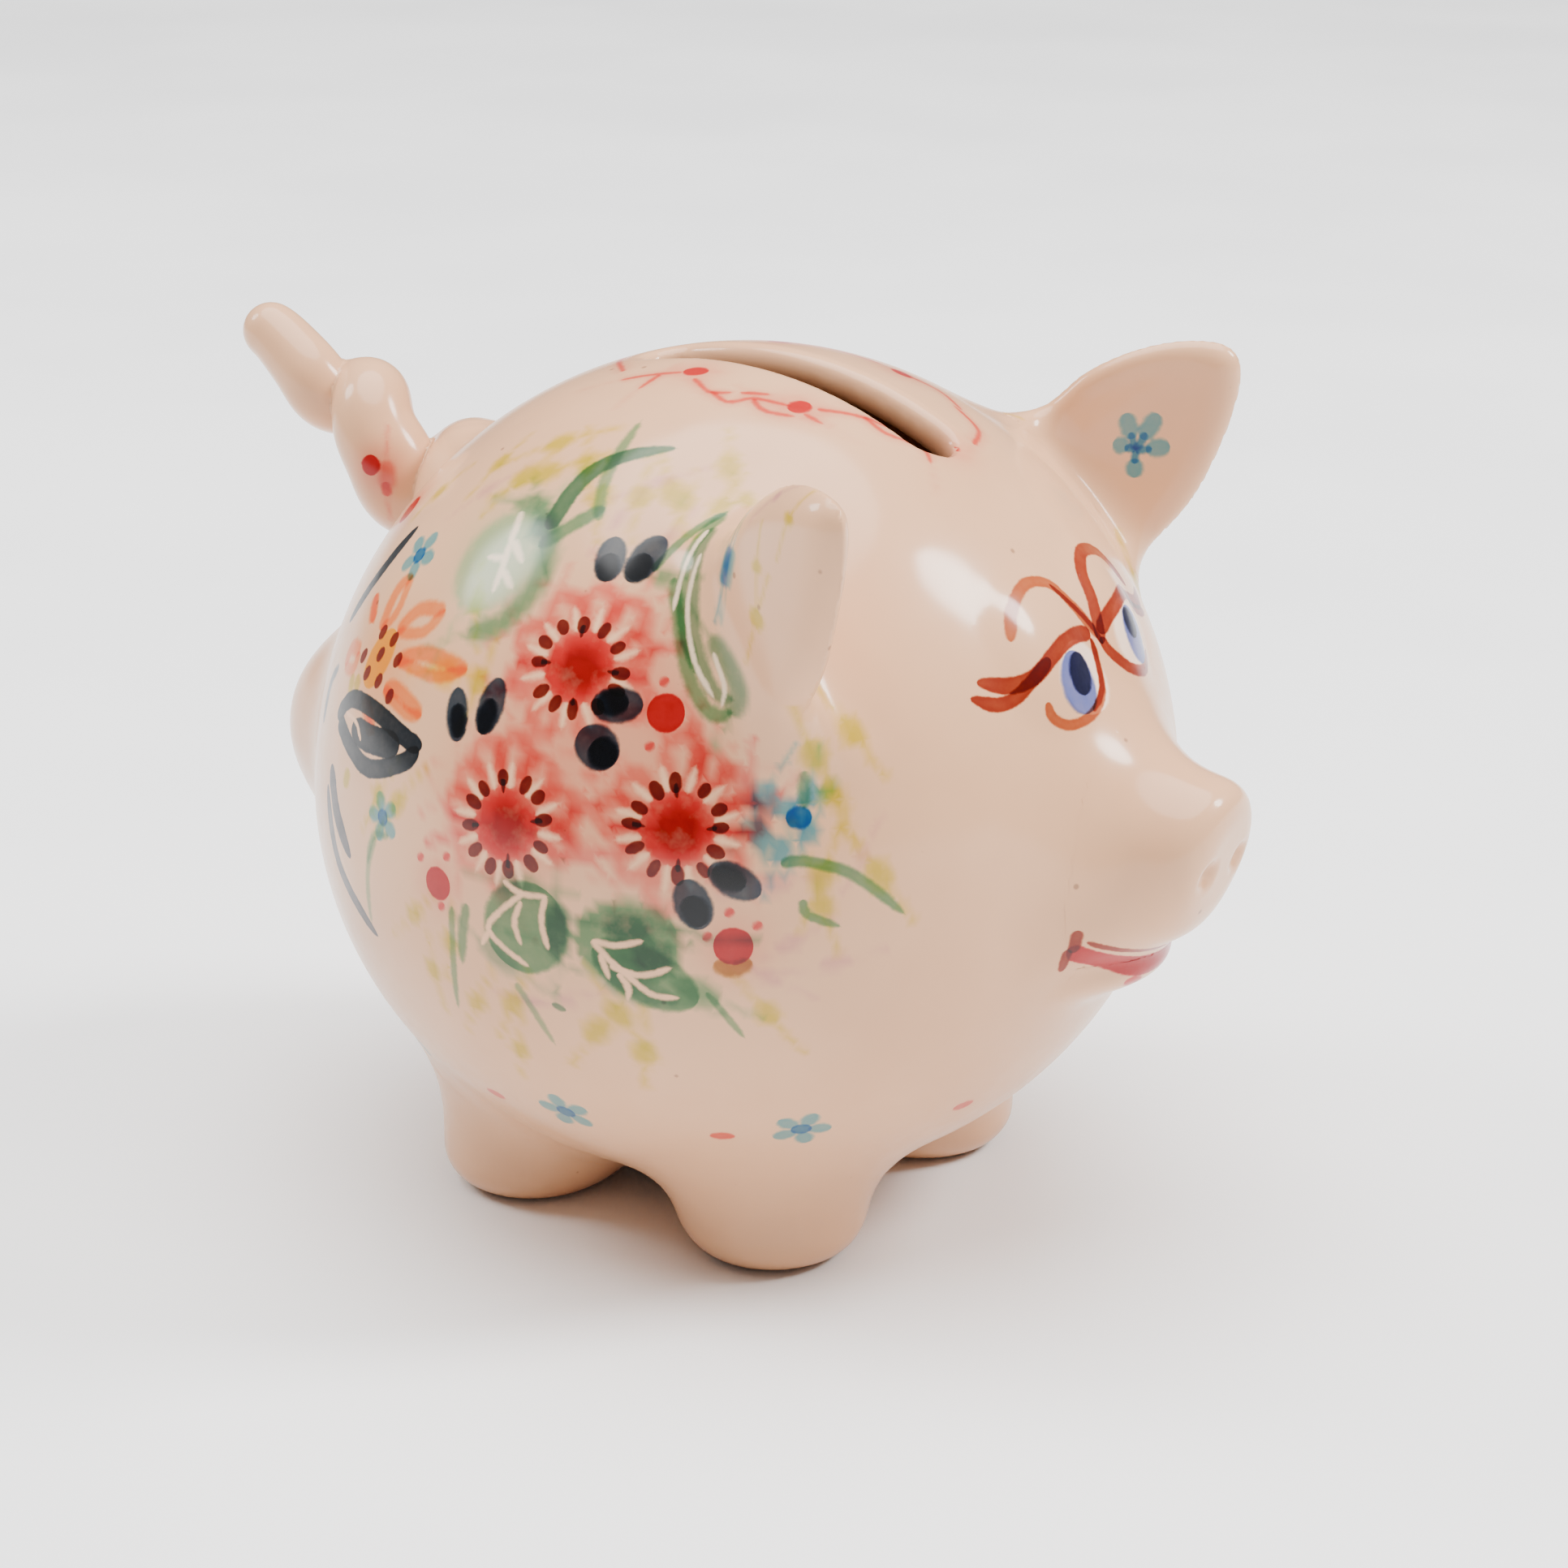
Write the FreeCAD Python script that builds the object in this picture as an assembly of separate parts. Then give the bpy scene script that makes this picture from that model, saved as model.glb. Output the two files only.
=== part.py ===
import FreeCAD, Part
import math
import os

# A hand-built stoneware piggy bank, in millimetres.
# +X runs forward to the snout, +Y to the pig's left, +Z up; the feet stand on Z = 0.
# The ball is hollow, with a coin slot on its back and a rubber stopper in its belly.
# Every other piece is a solid bit of clay joined face to face onto the ball.

V = FreeCAD.Vector

# Ball
BALL_R = 48.0              # half of its width and of its length
BALL_UP = 48.5             # from its centre to the crown
BALL_DOWN = 44.3           # from its centre to the belly
BALL_Z = 47.0              # height of its centre above the table
WALL = 4.0
RUMP_R = 12.3              # two soft swellings on the rump
RUMP_X = -41.9
RUMP_Y = 9.6
RUMP_Z = BALL_Z + 1.6
RUMP_BLEND = 5.0

# Coin slot, cut straight down on the mid-plane
SLOT_X = 6.5
SLOT_LENGTH = 37.0
SLOT_WIDTH = 6.0
SLOT_LIP = 1.4

# Stopper and its hole
HOLE_X = -2.25
HOLE_R = 11.25
SEAT_Z = 4.8               # flat ring round the hole that the flange rests on
PLUG_R = HOLE_R - 0.05
PLUG_TIP_R = 10.4
PLUG_LENGTH = 9.5
FLANGE_R = 12.3
FLANGE_T = 1.8
PULL_DIMPLE_R = 30.0       # shallow hollow under the flange, for a fingernail
PULL_DIMPLE_D = 0.7

# Legs
LEG_FRONT_X = 14.0
LEG_REAR_X = -18.5
LEG_Y = 16.6
FOOT_FLAT_R = 6.5
LEG_R = 10.0
FOOT_ROUND_Z = 5.0         # height where the rounded foot turns into the leg
LEG_FLARE_Z = 8.0          # height where the leg starts to spread into the belly
LEG_TOP_Z = 23.0
LEG_TOP_R = 14.5

# Snout: half width along its length, from inside the ball to the nose's edge
SNOUT_PROFILE = [(36.0, 15.8), (44.5, 11.9), (51.0, 9.6), (54.0, 8.8), (56.4, 8.4)]
SNOUT_Z = 1.7              # its axis above the ball's centre
SNOUT_FLATNESS = 1.02      # its height over its width
NOSE_ROUND = 2.6           # radius of the nose's edge
NOSE_LEAN = 14.0           # the top of the nose reaches further forward than its bottom
NOSTRIL_R = 1.5
NOSTRIL_Y = 3.4
NOSTRIL_X = 59.2
NOSTRIL_Z = BALL_Z + 1.1

# Lower jaw
JAW_CENTRE = V(42.0, 0.0, BALL_Z - 11.0)
JAW_SEMI = V(10.2, 10.4, 4.6)

# Eyes: low domes on the brow
EYE_CENTRE = V(38.6, 6.9, BALL_Z + 22.4)
EYE_SEMI = V(3.9, 6.4, 8.2)

# Ears: cupped leaves that reach forward at the sides of the head
EAR_BASE = V(22.7, 32.5, BALL_Z + 30.3)
EAR_DIR = V(0.68, 0.425, 0.585)
EAR_FRONT = V(0.457, -0.878, 0.085)
EAR_SECTIONS = [           # distance along the ear, half width, half thickness, shift down
    (-8.0, 9.0, 3.2, 1.2),
    (0.0, 10.6, 3.0, 1.2),
    (8.0, 10.2, 2.6, 0.1),
    (14.0, 8.2, 2.2, -1.2),
    (19.0, 5.2, 1.9, -2.0),
    (22.0, 2.6, 1.4, -2.3),
    (22.9, 1.2, 0.8, -2.4),
]
EAR_CUP_R = 15.0
EAR_CUP_ALONG = 8.5
EAR_CUP_OUT = 15.6

# Tail: a tapering corkscrew rising from the rump
TAIL_ROOT = V(-38.2, 0.0, BALL_Z + 25.9)
TAIL_TIP = V(-63.9, -2.7, BALL_Z + 43.6)
TAIL_ROOT_R = 5.9
TAIL_TIP_R = 3.3
TAIL_COIL_R = 4.1          # how far the root winds from its line; the tip lies on it
TAIL_PITCH = 15.2
TAIL_PHASE = 276.5
TAIL_HURRY = 0.7           # the twist runs uneven by up to this many radians
TAIL_SECTIONS = 26


def quarter(start, corner, end):
    """Quarter of an ellipse from start to end, tangent to both legs of the corner."""
    curve = Part.BSplineCurve()
    curve.buildFromPolesMultsKnots(
        [start, corner, end], [3, 3], [0, 1], False, 2, [1, math.sqrt(0.5), 1])
    return curve.toShape()


def line(start, end):
    return Part.LineSegment(start, end).toShape()


def revolved(edges, centre=V(0, 0, 0)):
    """Solid made by turning a closed outline about the vertical line through centre."""
    face = Part.Face(Part.Wire(edges))
    return face.revolve(centre, V(0, 0, 1), 360)


def egg(radius, up, down, z):
    """Closed ball with different heights above and below its widest ring at height z."""
    bottom, side, top = V(0, 0, z - down), V(radius, 0, z), V(0, 0, z + up)
    return revolved([
        quarter(bottom, V(radius, 0, z - down), side),
        quarter(side, V(radius, 0, z + up), top),
        line(top, bottom),
    ])


def ellipsoid(centre, semi, turn_y=0.0):
    """Ellipsoid with semi-axes semi, leaned by turn_y degrees about Y."""
    matrix = FreeCAD.Matrix()
    matrix.scale(semi)
    matrix.rotateY(math.radians(turn_y))
    matrix.move(centre)
    return Part.makeSphere(1.0).transformGeometry(matrix)


def ring(centre, across, up, half_across, half_up):
    """Elliptical wire in the plane of the unit vectors across and up."""
    matrix = FreeCAD.Matrix(
        across.x * half_across, up.x * half_up, across.cross(up).x, centre.x,
        across.y * half_across, up.y * half_up, across.cross(up).y, centre.y,
        across.z * half_across, up.z * half_up, across.cross(up).z, centre.z,
        0, 0, 0, 1)
    circle = Part.Circle(V(0, 0, 0), V(0, 0, 1), 1.0).toShape()
    return Part.Wire(circle.transformGeometry(matrix).Edges)


def one_solid(shape):
    """The largest solid of a shape, with its faces merged."""
    solid = max(shape.Solids, key=lambda s: s.Volume)
    return solid.removeSplitter()


def mirrored(shape):
    return shape.mirror(V(0, 0, 0), V(0, 1, 0))


def ball_outside():
    """Solid ball with the blended rump swellings and the flat seat under the belly."""
    ball = egg(BALL_R, BALL_UP, BALL_DOWN, BALL_Z)
    for side in (-1, 1):
        ball = ball.fuse(Part.makeSphere(RUMP_R, V(RUMP_X, side * RUMP_Y, RUMP_Z)))
    ball = one_solid(ball)
    creases = [e for e in ball.Edges
               if e.BoundBox.XMax < RUMP_X + RUMP_R and e.BoundBox.DiagonalLength < 4 * RUMP_R
               and e.BoundBox.ZLength > RUMP_BLEND]
    ball = ball.makeFillet(RUMP_BLEND, creases)
    under = Part.makeBox(60, 60, SEAT_Z, V(-30, -30, 0))
    return one_solid(ball.cut(under))


def body_shell(outside):
    """Hollow ball with the coin slot and the stopper hole."""
    hollow = egg(BALL_R - WALL, BALL_UP - WALL, BALL_DOWN - WALL, BALL_Z)
    shell = outside.cut(hollow)
    shell = shell.cut(Part.makeCylinder(HOLE_R, BALL_Z, V(HOLE_X, 0, 0)))
    half = SLOT_LENGTH / 2 - SLOT_WIDTH / 2
    top = BALL_Z + BALL_UP + 5
    slot = Part.makeBox(2 * half, SLOT_WIDTH, BALL_UP, V(SLOT_X - half, -SLOT_WIDTH / 2, BALL_Z + 10))
    for end in (-half, half):
        slot = slot.fuse(Part.makeCylinder(SLOT_WIDTH / 2, BALL_UP, V(SLOT_X + end, 0, BALL_Z + 10)))
    shell = one_solid(shell.cut(slot.removeSplitter()))
    rim = [e for e in shell.Edges
           if e.BoundBox.ZMin > BALL_Z + 30 and e.BoundBox.ZMax < top
           and abs(e.BoundBox.YMin) < SLOT_WIDTH and abs(e.BoundBox.YMax) < SLOT_WIDTH
           and is_on_ball(e)]
    return shell.makeFillet(SLOT_LIP, rim)


def is_on_ball(edge):
    """True for an edge that lies on the ball's outer surface, above its middle."""
    point = edge.valueAt((edge.FirstParameter + edge.LastParameter) / 2)
    across = math.hypot(point.x, point.y) / BALL_R
    return abs(math.hypot(across, (point.z - BALL_Z) / BALL_UP) - 1) < 0.01


def snout(outside):
    """Short tapering snout with a rounded nose that leans forward over the mouth."""
    side = Part.BSplineCurve()
    side.interpolate([V(x, 0, r) for x, r in SNOUT_PROFILE])
    root = V(SNOUT_PROFILE[0][0], 0, SNOUT_PROFILE[0][1])
    edge = V(SNOUT_PROFILE[-1][0], 0, SNOUT_PROFILE[-1][1])
    flat_r = edge.z - NOSE_ROUND
    tip_x = edge.x + NOSE_ROUND
    face = Part.Face(Part.Wire([
        line(V(root.x, 0, 0), root),
        side.toShape(),
        quarter(edge, V(tip_x, 0, edge.z), V(tip_x, 0, flat_r)),
        line(V(tip_x, 0, flat_r), V(tip_x, 0, 0)),
        line(V(tip_x, 0, 0), V(root.x, 0, 0)),
    ]))
    cone = face.revolve(V(0, 0, 0), V(1, 0, 0), 360)
    lean = math.tan(math.radians(NOSE_LEAN))
    shape = FreeCAD.Matrix(1, 0, lean, 0,
                           0, 1, 0, 0,
                           0, 0, SNOUT_FLATNESS, BALL_Z + SNOUT_Z,
                           0, 0, 0, 1)
    nose = cone.transformGeometry(shape)
    for side in (-1, 1):
        pit = Part.makeSphere(NOSTRIL_R, V(NOSTRIL_X, side * NOSTRIL_Y, NOSTRIL_Z))
        nose = nose.cut(pit)
    return one_solid(nose.cut(outside))


def lower_jaw(outside, above):
    return one_solid(ellipsoid(JAW_CENTRE, JAW_SEMI, -8.0).cut(outside).cut(above))


def eye(outside):
    """Low dome on the brow of the pig's left side."""
    return one_solid(ellipsoid(EYE_CENTRE, EYE_SEMI, -28.0).cut(outside))


def ear(outside):
    """Cupped ear of the pig's left side."""
    along = V(EAR_DIR).normalize()
    front = V(EAR_FRONT) - along * EAR_FRONT.dot(along)
    front.normalize()
    across = along.cross(front)
    wires = [ring(EAR_BASE + along * at + across * down, across, front, half_width, half_thick)
             for at, half_width, half_thick, down in EAR_SECTIONS]
    leaf = Part.makeLoft(wires, True)
    cup = Part.makeSphere(EAR_CUP_R, EAR_BASE + along * EAR_CUP_ALONG + front * EAR_CUP_OUT)
    return one_solid(leaf.cut(cup).cut(outside))


def tail(outside):
    """Corkscrew tail: round sections whose centres wind about a slanting line."""
    axis = TAIL_TIP - TAIL_ROOT
    length = axis.Length
    axis.normalize()
    side = V(0, 1, 0) - axis * axis.y
    side.normalize()
    up = axis.cross(side)
    wires = []
    for i in range(TAIL_SECTIONS):
        share = i / (TAIL_SECTIONS - 1)
        turn = math.radians(TAIL_PHASE) + 2 * math.pi * share * length / TAIL_PITCH
        turn += TAIL_HURRY * math.sin(turn)
        coil = TAIL_COIL_R * (1 - share)
        radius = TAIL_ROOT_R + (TAIL_TIP_R - TAIL_ROOT_R) * share
        centre = (TAIL_ROOT + axis * (length * share)
                  + side * (coil * math.cos(turn)) + up * (coil * math.sin(turn)))
        wires.append(ring(centre, side, up, radius, radius))
    cork = Part.makeLoft(wires, True)
    cork = cork.fuse(Part.makeSphere(TAIL_TIP_R, centre))
    return one_solid(cork.cut(outside))


def leg(outside, x, y):
    """Stumpy leg with a rounded foot, spreading into the belly."""
    base, ground = V(x, y, 0), V(x + FOOT_FLAT_R, y, 0)
    ankle = V(x + LEG_R, y, FOOT_ROUND_Z)
    knee = V(x + LEG_R, y, LEG_FLARE_Z)
    hip = V(x + LEG_TOP_R, y, LEG_TOP_Z)
    top = V(x, y, LEG_TOP_Z)
    solid = revolved([
        line(base, ground),
        quarter(ground, V(x + LEG_R, y, 0), ankle),
        line(ankle, knee),
        quarter(knee, V(x + LEG_R, y, (LEG_FLARE_Z + LEG_TOP_Z) / 2), hip),
        line(hip, top),
        line(top, base),
    ], base)
    return one_solid(solid.cut(outside))


def stopper():
    """Rubber stopper: a flange under the belly and a tapered plug in the hole."""
    bottom, top = SEAT_Z - FLANGE_T, SEAT_Z + PLUG_LENGTH
    rounding = FLANGE_T / 3
    points = [V(0, 0, bottom), V(FLANGE_R - rounding, 0, bottom), V(FLANGE_R, 0, bottom + rounding),
              V(FLANGE_R, 0, SEAT_Z), V(PLUG_R, 0, SEAT_Z), V(PLUG_R, 0, SEAT_Z + WALL),
              V(PLUG_TIP_R, 0, top - 1), V(PLUG_TIP_R - 1, 0, top), V(0, 0, top), V(0, 0, bottom)]
    body = revolved([line(a, b) for a, b in zip(points, points[1:])])
    dimple = Part.makeSphere(PULL_DIMPLE_R, V(0, 0, bottom - PULL_DIMPLE_R + PULL_DIMPLE_D))
    body = body.cut(dimple)
    body.translate(V(HOLE_X, 0, 0))
    return one_solid(body)


def build():
    outside = ball_outside()
    nose = snout(outside)
    left_eye = eye(outside)
    left_ear = ear(outside)
    return {
        "body_shell": body_shell(outside),
        "snout": nose,
        "lower_jaw": lower_jaw(outside, nose),
        "eye_left": left_eye,
        "eye_right": mirrored(left_eye),
        "ear_left": left_ear,
        "ear_right": mirrored(left_ear),
        "tail": tail(outside),
        "leg_front_left": leg(outside, LEG_FRONT_X, LEG_Y),
        "leg_front_right": leg(outside, LEG_FRONT_X, -LEG_Y),
        "leg_rear_left": leg(outside, LEG_REAR_X, LEG_Y),
        "leg_rear_right": leg(outside, LEG_REAR_X, -LEG_Y),
        "stopper": stopper(),
    }


def write(parts):
    """Centre the whole pig over the origin, then write one file per piece."""
    box = Part.makeCompound(list(parts.values())).optimalBoundingBox(False, False)
    shift = V(-(box.XMin + box.XMax) / 2, -(box.YMin + box.YMax) / 2, -box.ZMin)
    os.makedirs("parts", exist_ok=True)
    for name, shape in parts.items():
        shape.translate(shift)
        shape.exportStep("parts/" + name + ".step")
        size = shape.optimalBoundingBox(False, False)
        print(f"{name:16s} solids {len(shape.Solids)} valid {shape.isValid()} "
              f"volume {shape.Volume / 1000:.2f} cm3 "
              f"x {size.XMin:.2f} {size.XMax:.2f} y {size.YMin:.2f} {size.YMax:.2f} "
              f"z {size.ZMin:.2f} {size.ZMax:.2f}")
    print(f"size {box.XLength:.2f} x {box.YLength:.2f} x {box.ZLength:.2f}, "
          f"moved by {shift.x:.3f} {shift.y:.3f} {shift.z:.3f}")


write(build())
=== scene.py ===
import bpy
import math
import numpy as np
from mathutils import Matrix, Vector


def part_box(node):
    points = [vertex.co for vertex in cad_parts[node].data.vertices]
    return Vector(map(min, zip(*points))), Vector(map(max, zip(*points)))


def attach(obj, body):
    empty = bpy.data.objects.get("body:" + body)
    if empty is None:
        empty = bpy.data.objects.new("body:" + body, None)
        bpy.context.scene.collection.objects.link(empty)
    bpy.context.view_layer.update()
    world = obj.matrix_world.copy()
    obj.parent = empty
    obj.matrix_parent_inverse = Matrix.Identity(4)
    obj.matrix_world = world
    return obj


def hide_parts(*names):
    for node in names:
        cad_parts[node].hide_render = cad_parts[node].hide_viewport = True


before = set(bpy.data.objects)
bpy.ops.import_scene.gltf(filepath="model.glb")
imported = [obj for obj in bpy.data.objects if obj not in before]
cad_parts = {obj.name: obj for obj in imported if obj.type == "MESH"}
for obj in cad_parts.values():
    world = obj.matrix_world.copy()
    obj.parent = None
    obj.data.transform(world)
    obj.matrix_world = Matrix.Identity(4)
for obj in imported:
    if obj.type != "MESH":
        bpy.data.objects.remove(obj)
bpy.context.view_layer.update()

# Shapes are worked out in millimetres about the centre of the pig's ball:
# +X to the snout, +Y to the pig's left, +Z up. The CAD box of the ball says where that is.
MM = 0.001
BALL_R = 48.0
BALL_UP = 48.5
BALL_DOWN = 44.3
FLOOR_Z = -47.0
WALL = 4.0
RUMP_R = 12.3              # the two swellings behind
RUMP_CENTRE = (-41.9, 9.6, 1.6)
LEG_R = 10.3
LEG_TOP = 24.0             # above the floor
FOOT_ROUND = 4.5
SNOUT_Z = 1.7
NOSE_X = 59.0
NOSE_LEAN = 14.0
NOSTRIL_R = 1.45
CENTRE = np.array([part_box("body_shell")[1].x / MM - BALL_R, 0.0, -FLOOR_Z])


# ---------------------------------------------------------------- distance fields

def vec(*values):
    return np.array(values, float)


def unit(v):
    return np.asarray(v, float) / np.linalg.norm(v)


def join(a, b, round_mm):
    """Union of two fields with a soft fillet between them."""
    h = np.clip(0.5 + 0.5 * (b - a) / round_mm, 0, 1)
    return b + (a - b) * h - round_mm * h * (1 - h)


def overlap(a, b, round_mm):
    return -join(-a, -b, round_mm)


def ellipsoid(p, semi):
    k0 = np.linalg.norm(p / semi, axis=-1)
    k1 = np.linalg.norm(p / (semi * semi), axis=-1)
    return k0 * (k0 - 1) / np.maximum(k1, 1e-9)


def ball(p, inset=0.0):
    side = np.full(p.shape[:-1], BALL_R - inset)
    tall = np.where(p[..., 2] > 0, BALL_UP, BALL_DOWN) - inset
    return ellipsoid(p, np.stack([side, side, tall], -1))


def body(p):
    """The ball with the two soft swellings on its rump."""
    mirror = vec(1, -1, 1)
    right = np.linalg.norm(p - vec(*RUMP_CENTRE) * mirror, axis=-1) - RUMP_R
    left = np.linalg.norm(p - vec(*RUMP_CENTRE), axis=-1) - RUMP_R
    return join(ball(p), join(right, left, 3.0), 6.0)


def leg(p, x, y):
    """Upright post with a rounded foot."""
    out = np.hypot(p[..., 0] - x, p[..., 1] - y) - (LEG_R - FOOT_ROUND)
    up = np.abs(p[..., 2] - FLOOR_Z - LEG_TOP / 2) - (LEG_TOP / 2 - FOOT_ROUND)
    return np.minimum(np.maximum(out, up), 0) + np.hypot(np.maximum(out, 0), np.maximum(up, 0)) - FOOT_ROUND


def snout(p):
    """Tapering snout whose nose leans forward, with the full upper lip under it."""
    lean = math.tan(math.radians(NOSE_LEAN)) * np.clip((p[..., 0] - 40) / 18, 0, 1)
    height = p[..., 2] - SNOUT_Z
    x = p[..., 0] - height * lean
    radius = 8.1 + 8.0 * np.clip((59.4 - x) / 24, 0, 2) ** 1.6
    flank = (np.hypot(p[..., 1], height / 1.02) - radius) * 0.92
    cone = np.maximum(overlap(flank, x - NOSE_X, 4.2), 34 - p[..., 0])
    for side in (-1, 1):
        pit = np.linalg.norm(p - vec(59.3, 3.5 * side, 1.1), axis=-1) - NOSTRIL_R
        cone = overlap(cone, -pit, 1.0)
    lip = ellipsoid(p - vec(44.5, 0, -3.0), vec(9.0, 11.5, 7.0))
    return join(cone, lip, 5.0)


def jaw(p):
    return ellipsoid(p - vec(42.2, 0, -11.0), vec(9.4, 10.4, 3.8))


def eye(p, side):
    """Low dome on the brow."""
    normal = unit([0.861, 0.14 * side, 0.49])
    across = unit(np.cross([0, 0, 1], normal))
    turned = (p - vec(38.6, 6.9 * side, 22.4)) @ np.array([across, np.cross(normal, across), normal]).T
    return ellipsoid(turned, vec(6.4, 8.2, 3.8))


def smooth_span(a, b, c, d, t):
    """Points of the smooth curve from b to c, with a before them and d after."""
    return 0.5 * (2 * b + (c - a) * t + (2 * a - 5 * b + 4 * c - d) * t ** 2
                  + (3 * b - a - 3 * c + d) * t ** 3)


def smooth_loop(points, per=8):
    """Closed curve through the points."""
    pts = np.array(points, float)
    t = (np.arange(per) / per)[:, None]
    out = []
    for i in range(len(pts)):
        a, b, c, d = pts[i - 1], pts[i], pts[(i + 1) % len(pts)], pts[(i + 2) % len(pts)]
        out.append(smooth_span(a, b, c, d, t))
    return np.concatenate(out)


def outline_distance(x, y, loop):
    """Signed distance from points of a plane to a closed outline, negative inside."""
    nearest = np.full(x.shape, 1e9)
    inside = np.zeros(x.shape, bool)
    for i in range(len(loop)):
        (ax, ay), (bx, by) = loop[i - 1], loop[i]
        ex, ey = bx - ax, by - ay
        wx, wy = x - ax, y - ay
        t = np.clip((wx * ex + wy * ey) / (ex * ex + ey * ey), 0, 1)
        nearest = np.minimum(nearest, (wx - t * ex) ** 2 + (wy - t * ey) ** 2)
        slope = ey if abs(ey) > 1e-9 else 1e-9
        inside ^= ((ay > y) != (by > y)) & (x < ax + (y - ay) * ex / slope)
    return np.where(inside, -1, 1) * np.sqrt(nearest)


# The ear's outline: along the ear, then across it towards its lower edge.
EAR_LOOP = smooth_loop([
    (-9, -9), (-2, -9.2), (3, -9.0), (8, -9.6), (13.5, -8.8), (18.8, -6.7), (22.6, -3.8),
    (23.2, -0.8), (20.6, 2.8), (15.4, 6.8), (9.6, 9.9), (2.5, 11.6), (-5, 12.4), (-9, 9)])
EARS = {1: (vec(23.0, 32.4, 30.3), vec(0.70, 0.42, 0.57), vec(0.57, 0.22, -0.79)),
        -1: (vec(22.3, 32.7, 30.3), vec(0.66, 0.43, 0.59), vec(0.57, 0.25, -0.78))}


def ear_axes(side):
    """Root point and the ear's own directions: along, across to the lower edge, inwards."""
    root, along, across = EARS[side]
    along = unit(along)
    across = unit(across - along * (across @ along))
    inner = np.cross(across, along)
    if inner[1] > 0:
        inner = -inner
    return root, along, across, inner


def ear(p, side):
    root, along, across, inner = ear_axes(side)
    q = p * vec(1, side, 1) - root
    u, v, t = q @ along, q @ across, q @ inner
    outside = np.stack([np.maximum(u - 24, -9 - u), np.maximum(v - 13, -11 - v),
                        np.maximum(t - 6, -5 - t)], -1)
    far = np.linalg.norm(np.maximum(outside, 0), axis=-1) + np.minimum(outside.max(-1), 0)
    field = far + 1.0
    near = far < 8.0
    if not near.any():
        return field
    u, v, t = u[near], v[near], t[near]
    reach = np.clip(u, 0, 30)
    half = 10.8 * np.sqrt(np.clip(1 - ((u + 2) / 27.0) ** 2, 0.02, 1))
    k = np.clip((v - 0.4 + 0.006 * reach ** 2) / half, -1.4, 1.4)
    curl = np.where(k < 0, 3.0, 1.1) * k * k * (half / 10.8) + 0.005 * reach ** 2 - 1.5
    thick = 1.9 + 0.5 * np.clip(-k, 0, 1) ** 2 + 0.025 * np.clip(12 - u, 0, 20)
    leaf = overlap(np.abs(t - curl) - thick, outline_distance(u, v, EAR_LOOP), 4.0)
    field[near] = np.maximum(leaf, -9.0 - u) * 0.8
    return field


TAIL_ROOT = vec(-38.2, 0.0, 25.9)
TAIL_TIP = vec(-63.9, -2.7, 43.6)
TAIL_PITCH = 15.2
TAIL_START = 276.5         # degrees round the coil at the root
TAIL_HURRY = 0.7           # the twist runs unevenly
TAIL_COIL = 4.1


def tail_centres(count=61):
    """Centres and radii along the tail's corkscrew."""
    axis = TAIL_TIP - TAIL_ROOT
    length = np.linalg.norm(axis)
    axis = axis / length
    side = unit(vec(0, 1, 0) - axis * axis[1])
    up = np.cross(axis, side)
    share = np.linspace(0, 1, count)[:, None]
    turn = math.radians(TAIL_START) + 2 * math.pi * share * length / TAIL_PITCH
    turn = turn + TAIL_HURRY * np.sin(turn)
    coil = TAIL_COIL * (1 - share)
    centres = TAIL_ROOT + share * length * axis + coil * (np.cos(turn) * side + np.sin(turn) * up)
    return centres, 5.9 - 2.6 * share[:, 0]


TAIL_CENTRES, TAIL_RADII = tail_centres()


def tail(p):
    axis = unit(TAIL_TIP - TAIL_ROOT)
    q = p - TAIL_ROOT
    along = q @ axis
    off = np.linalg.norm(q - along[..., None] * axis, axis=-1)
    far = np.maximum(off - 11, np.maximum(along - 36, -along - 7))
    field = far + 1.0
    near = far < 5.0
    if not near.any():
        return field
    best = np.full(near.sum(), 1e9)
    for centre, radius in zip(TAIL_CENTRES, TAIL_RADII):
        best = join(best, np.linalg.norm(p[near] - centre, axis=-1) - radius, 0.15)
    field[near] = best
    return field


LEG_PLACES = {"leg_front_right": (14.0, -16.6), "leg_front_left": (14.0, 16.6),
              "leg_rear_right": (-18.5, -16.6), "leg_rear_left": (-18.5, 16.6)}
LIMBS = {                  # field, softness of the joint with what it grows from
    **{name: (lambda p, place=place: leg(p, *place), 7.0) for name, place in LEG_PLACES.items()},
    "snout": (snout, 8.0),
    "lower_jaw": (jaw, 2.5),
    "eye_right": (lambda p: eye(p, -1), 2.5),
    "eye_left": (lambda p: eye(p, 1), 2.5),
    "ear_right": (lambda p: ear(p, -1), 6.0),
    "ear_left": (lambda p: ear(p, 1), 6.0),
    "tail": (tail, 4.0),
}


def whole(p):
    """The pig's outer skin, every joint smoothed over."""
    field = body(p)
    for limb, softness in LIMBS.values():
        field = join(field, limb(p), softness)
    return field


SLOT_X = 6.5
SLOT_LENGTH = 37.0
SLOT_WIDTH = 6.0


def slot(p):
    """Coin slot, cut straight down through the back, the CAD slot's size and place."""
    along = np.abs(p[..., 0] - SLOT_X) - (SLOT_LENGTH - SLOT_WIDTH) / 2
    return np.hypot(np.maximum(along, 0), p[..., 1]) - SLOT_WIDTH / 2 + np.where(p[..., 2] < 20, 100, 0)


HOLE_X = -2.25
HOLE_R = 11.3
SEAT_R = 12.9
SEAT_Z = FLOOR_Z + 4.8


def cut_seat(p, field):
    """Cuts the flat seat that the stopper's flange rests on."""
    from_axis = np.hypot(p[..., 0] - HOLE_X, p[..., 1])
    return overlap(field, -np.maximum(from_axis - SEAT_R, p[..., 2] - SEAT_Z), 0.3)


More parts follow.
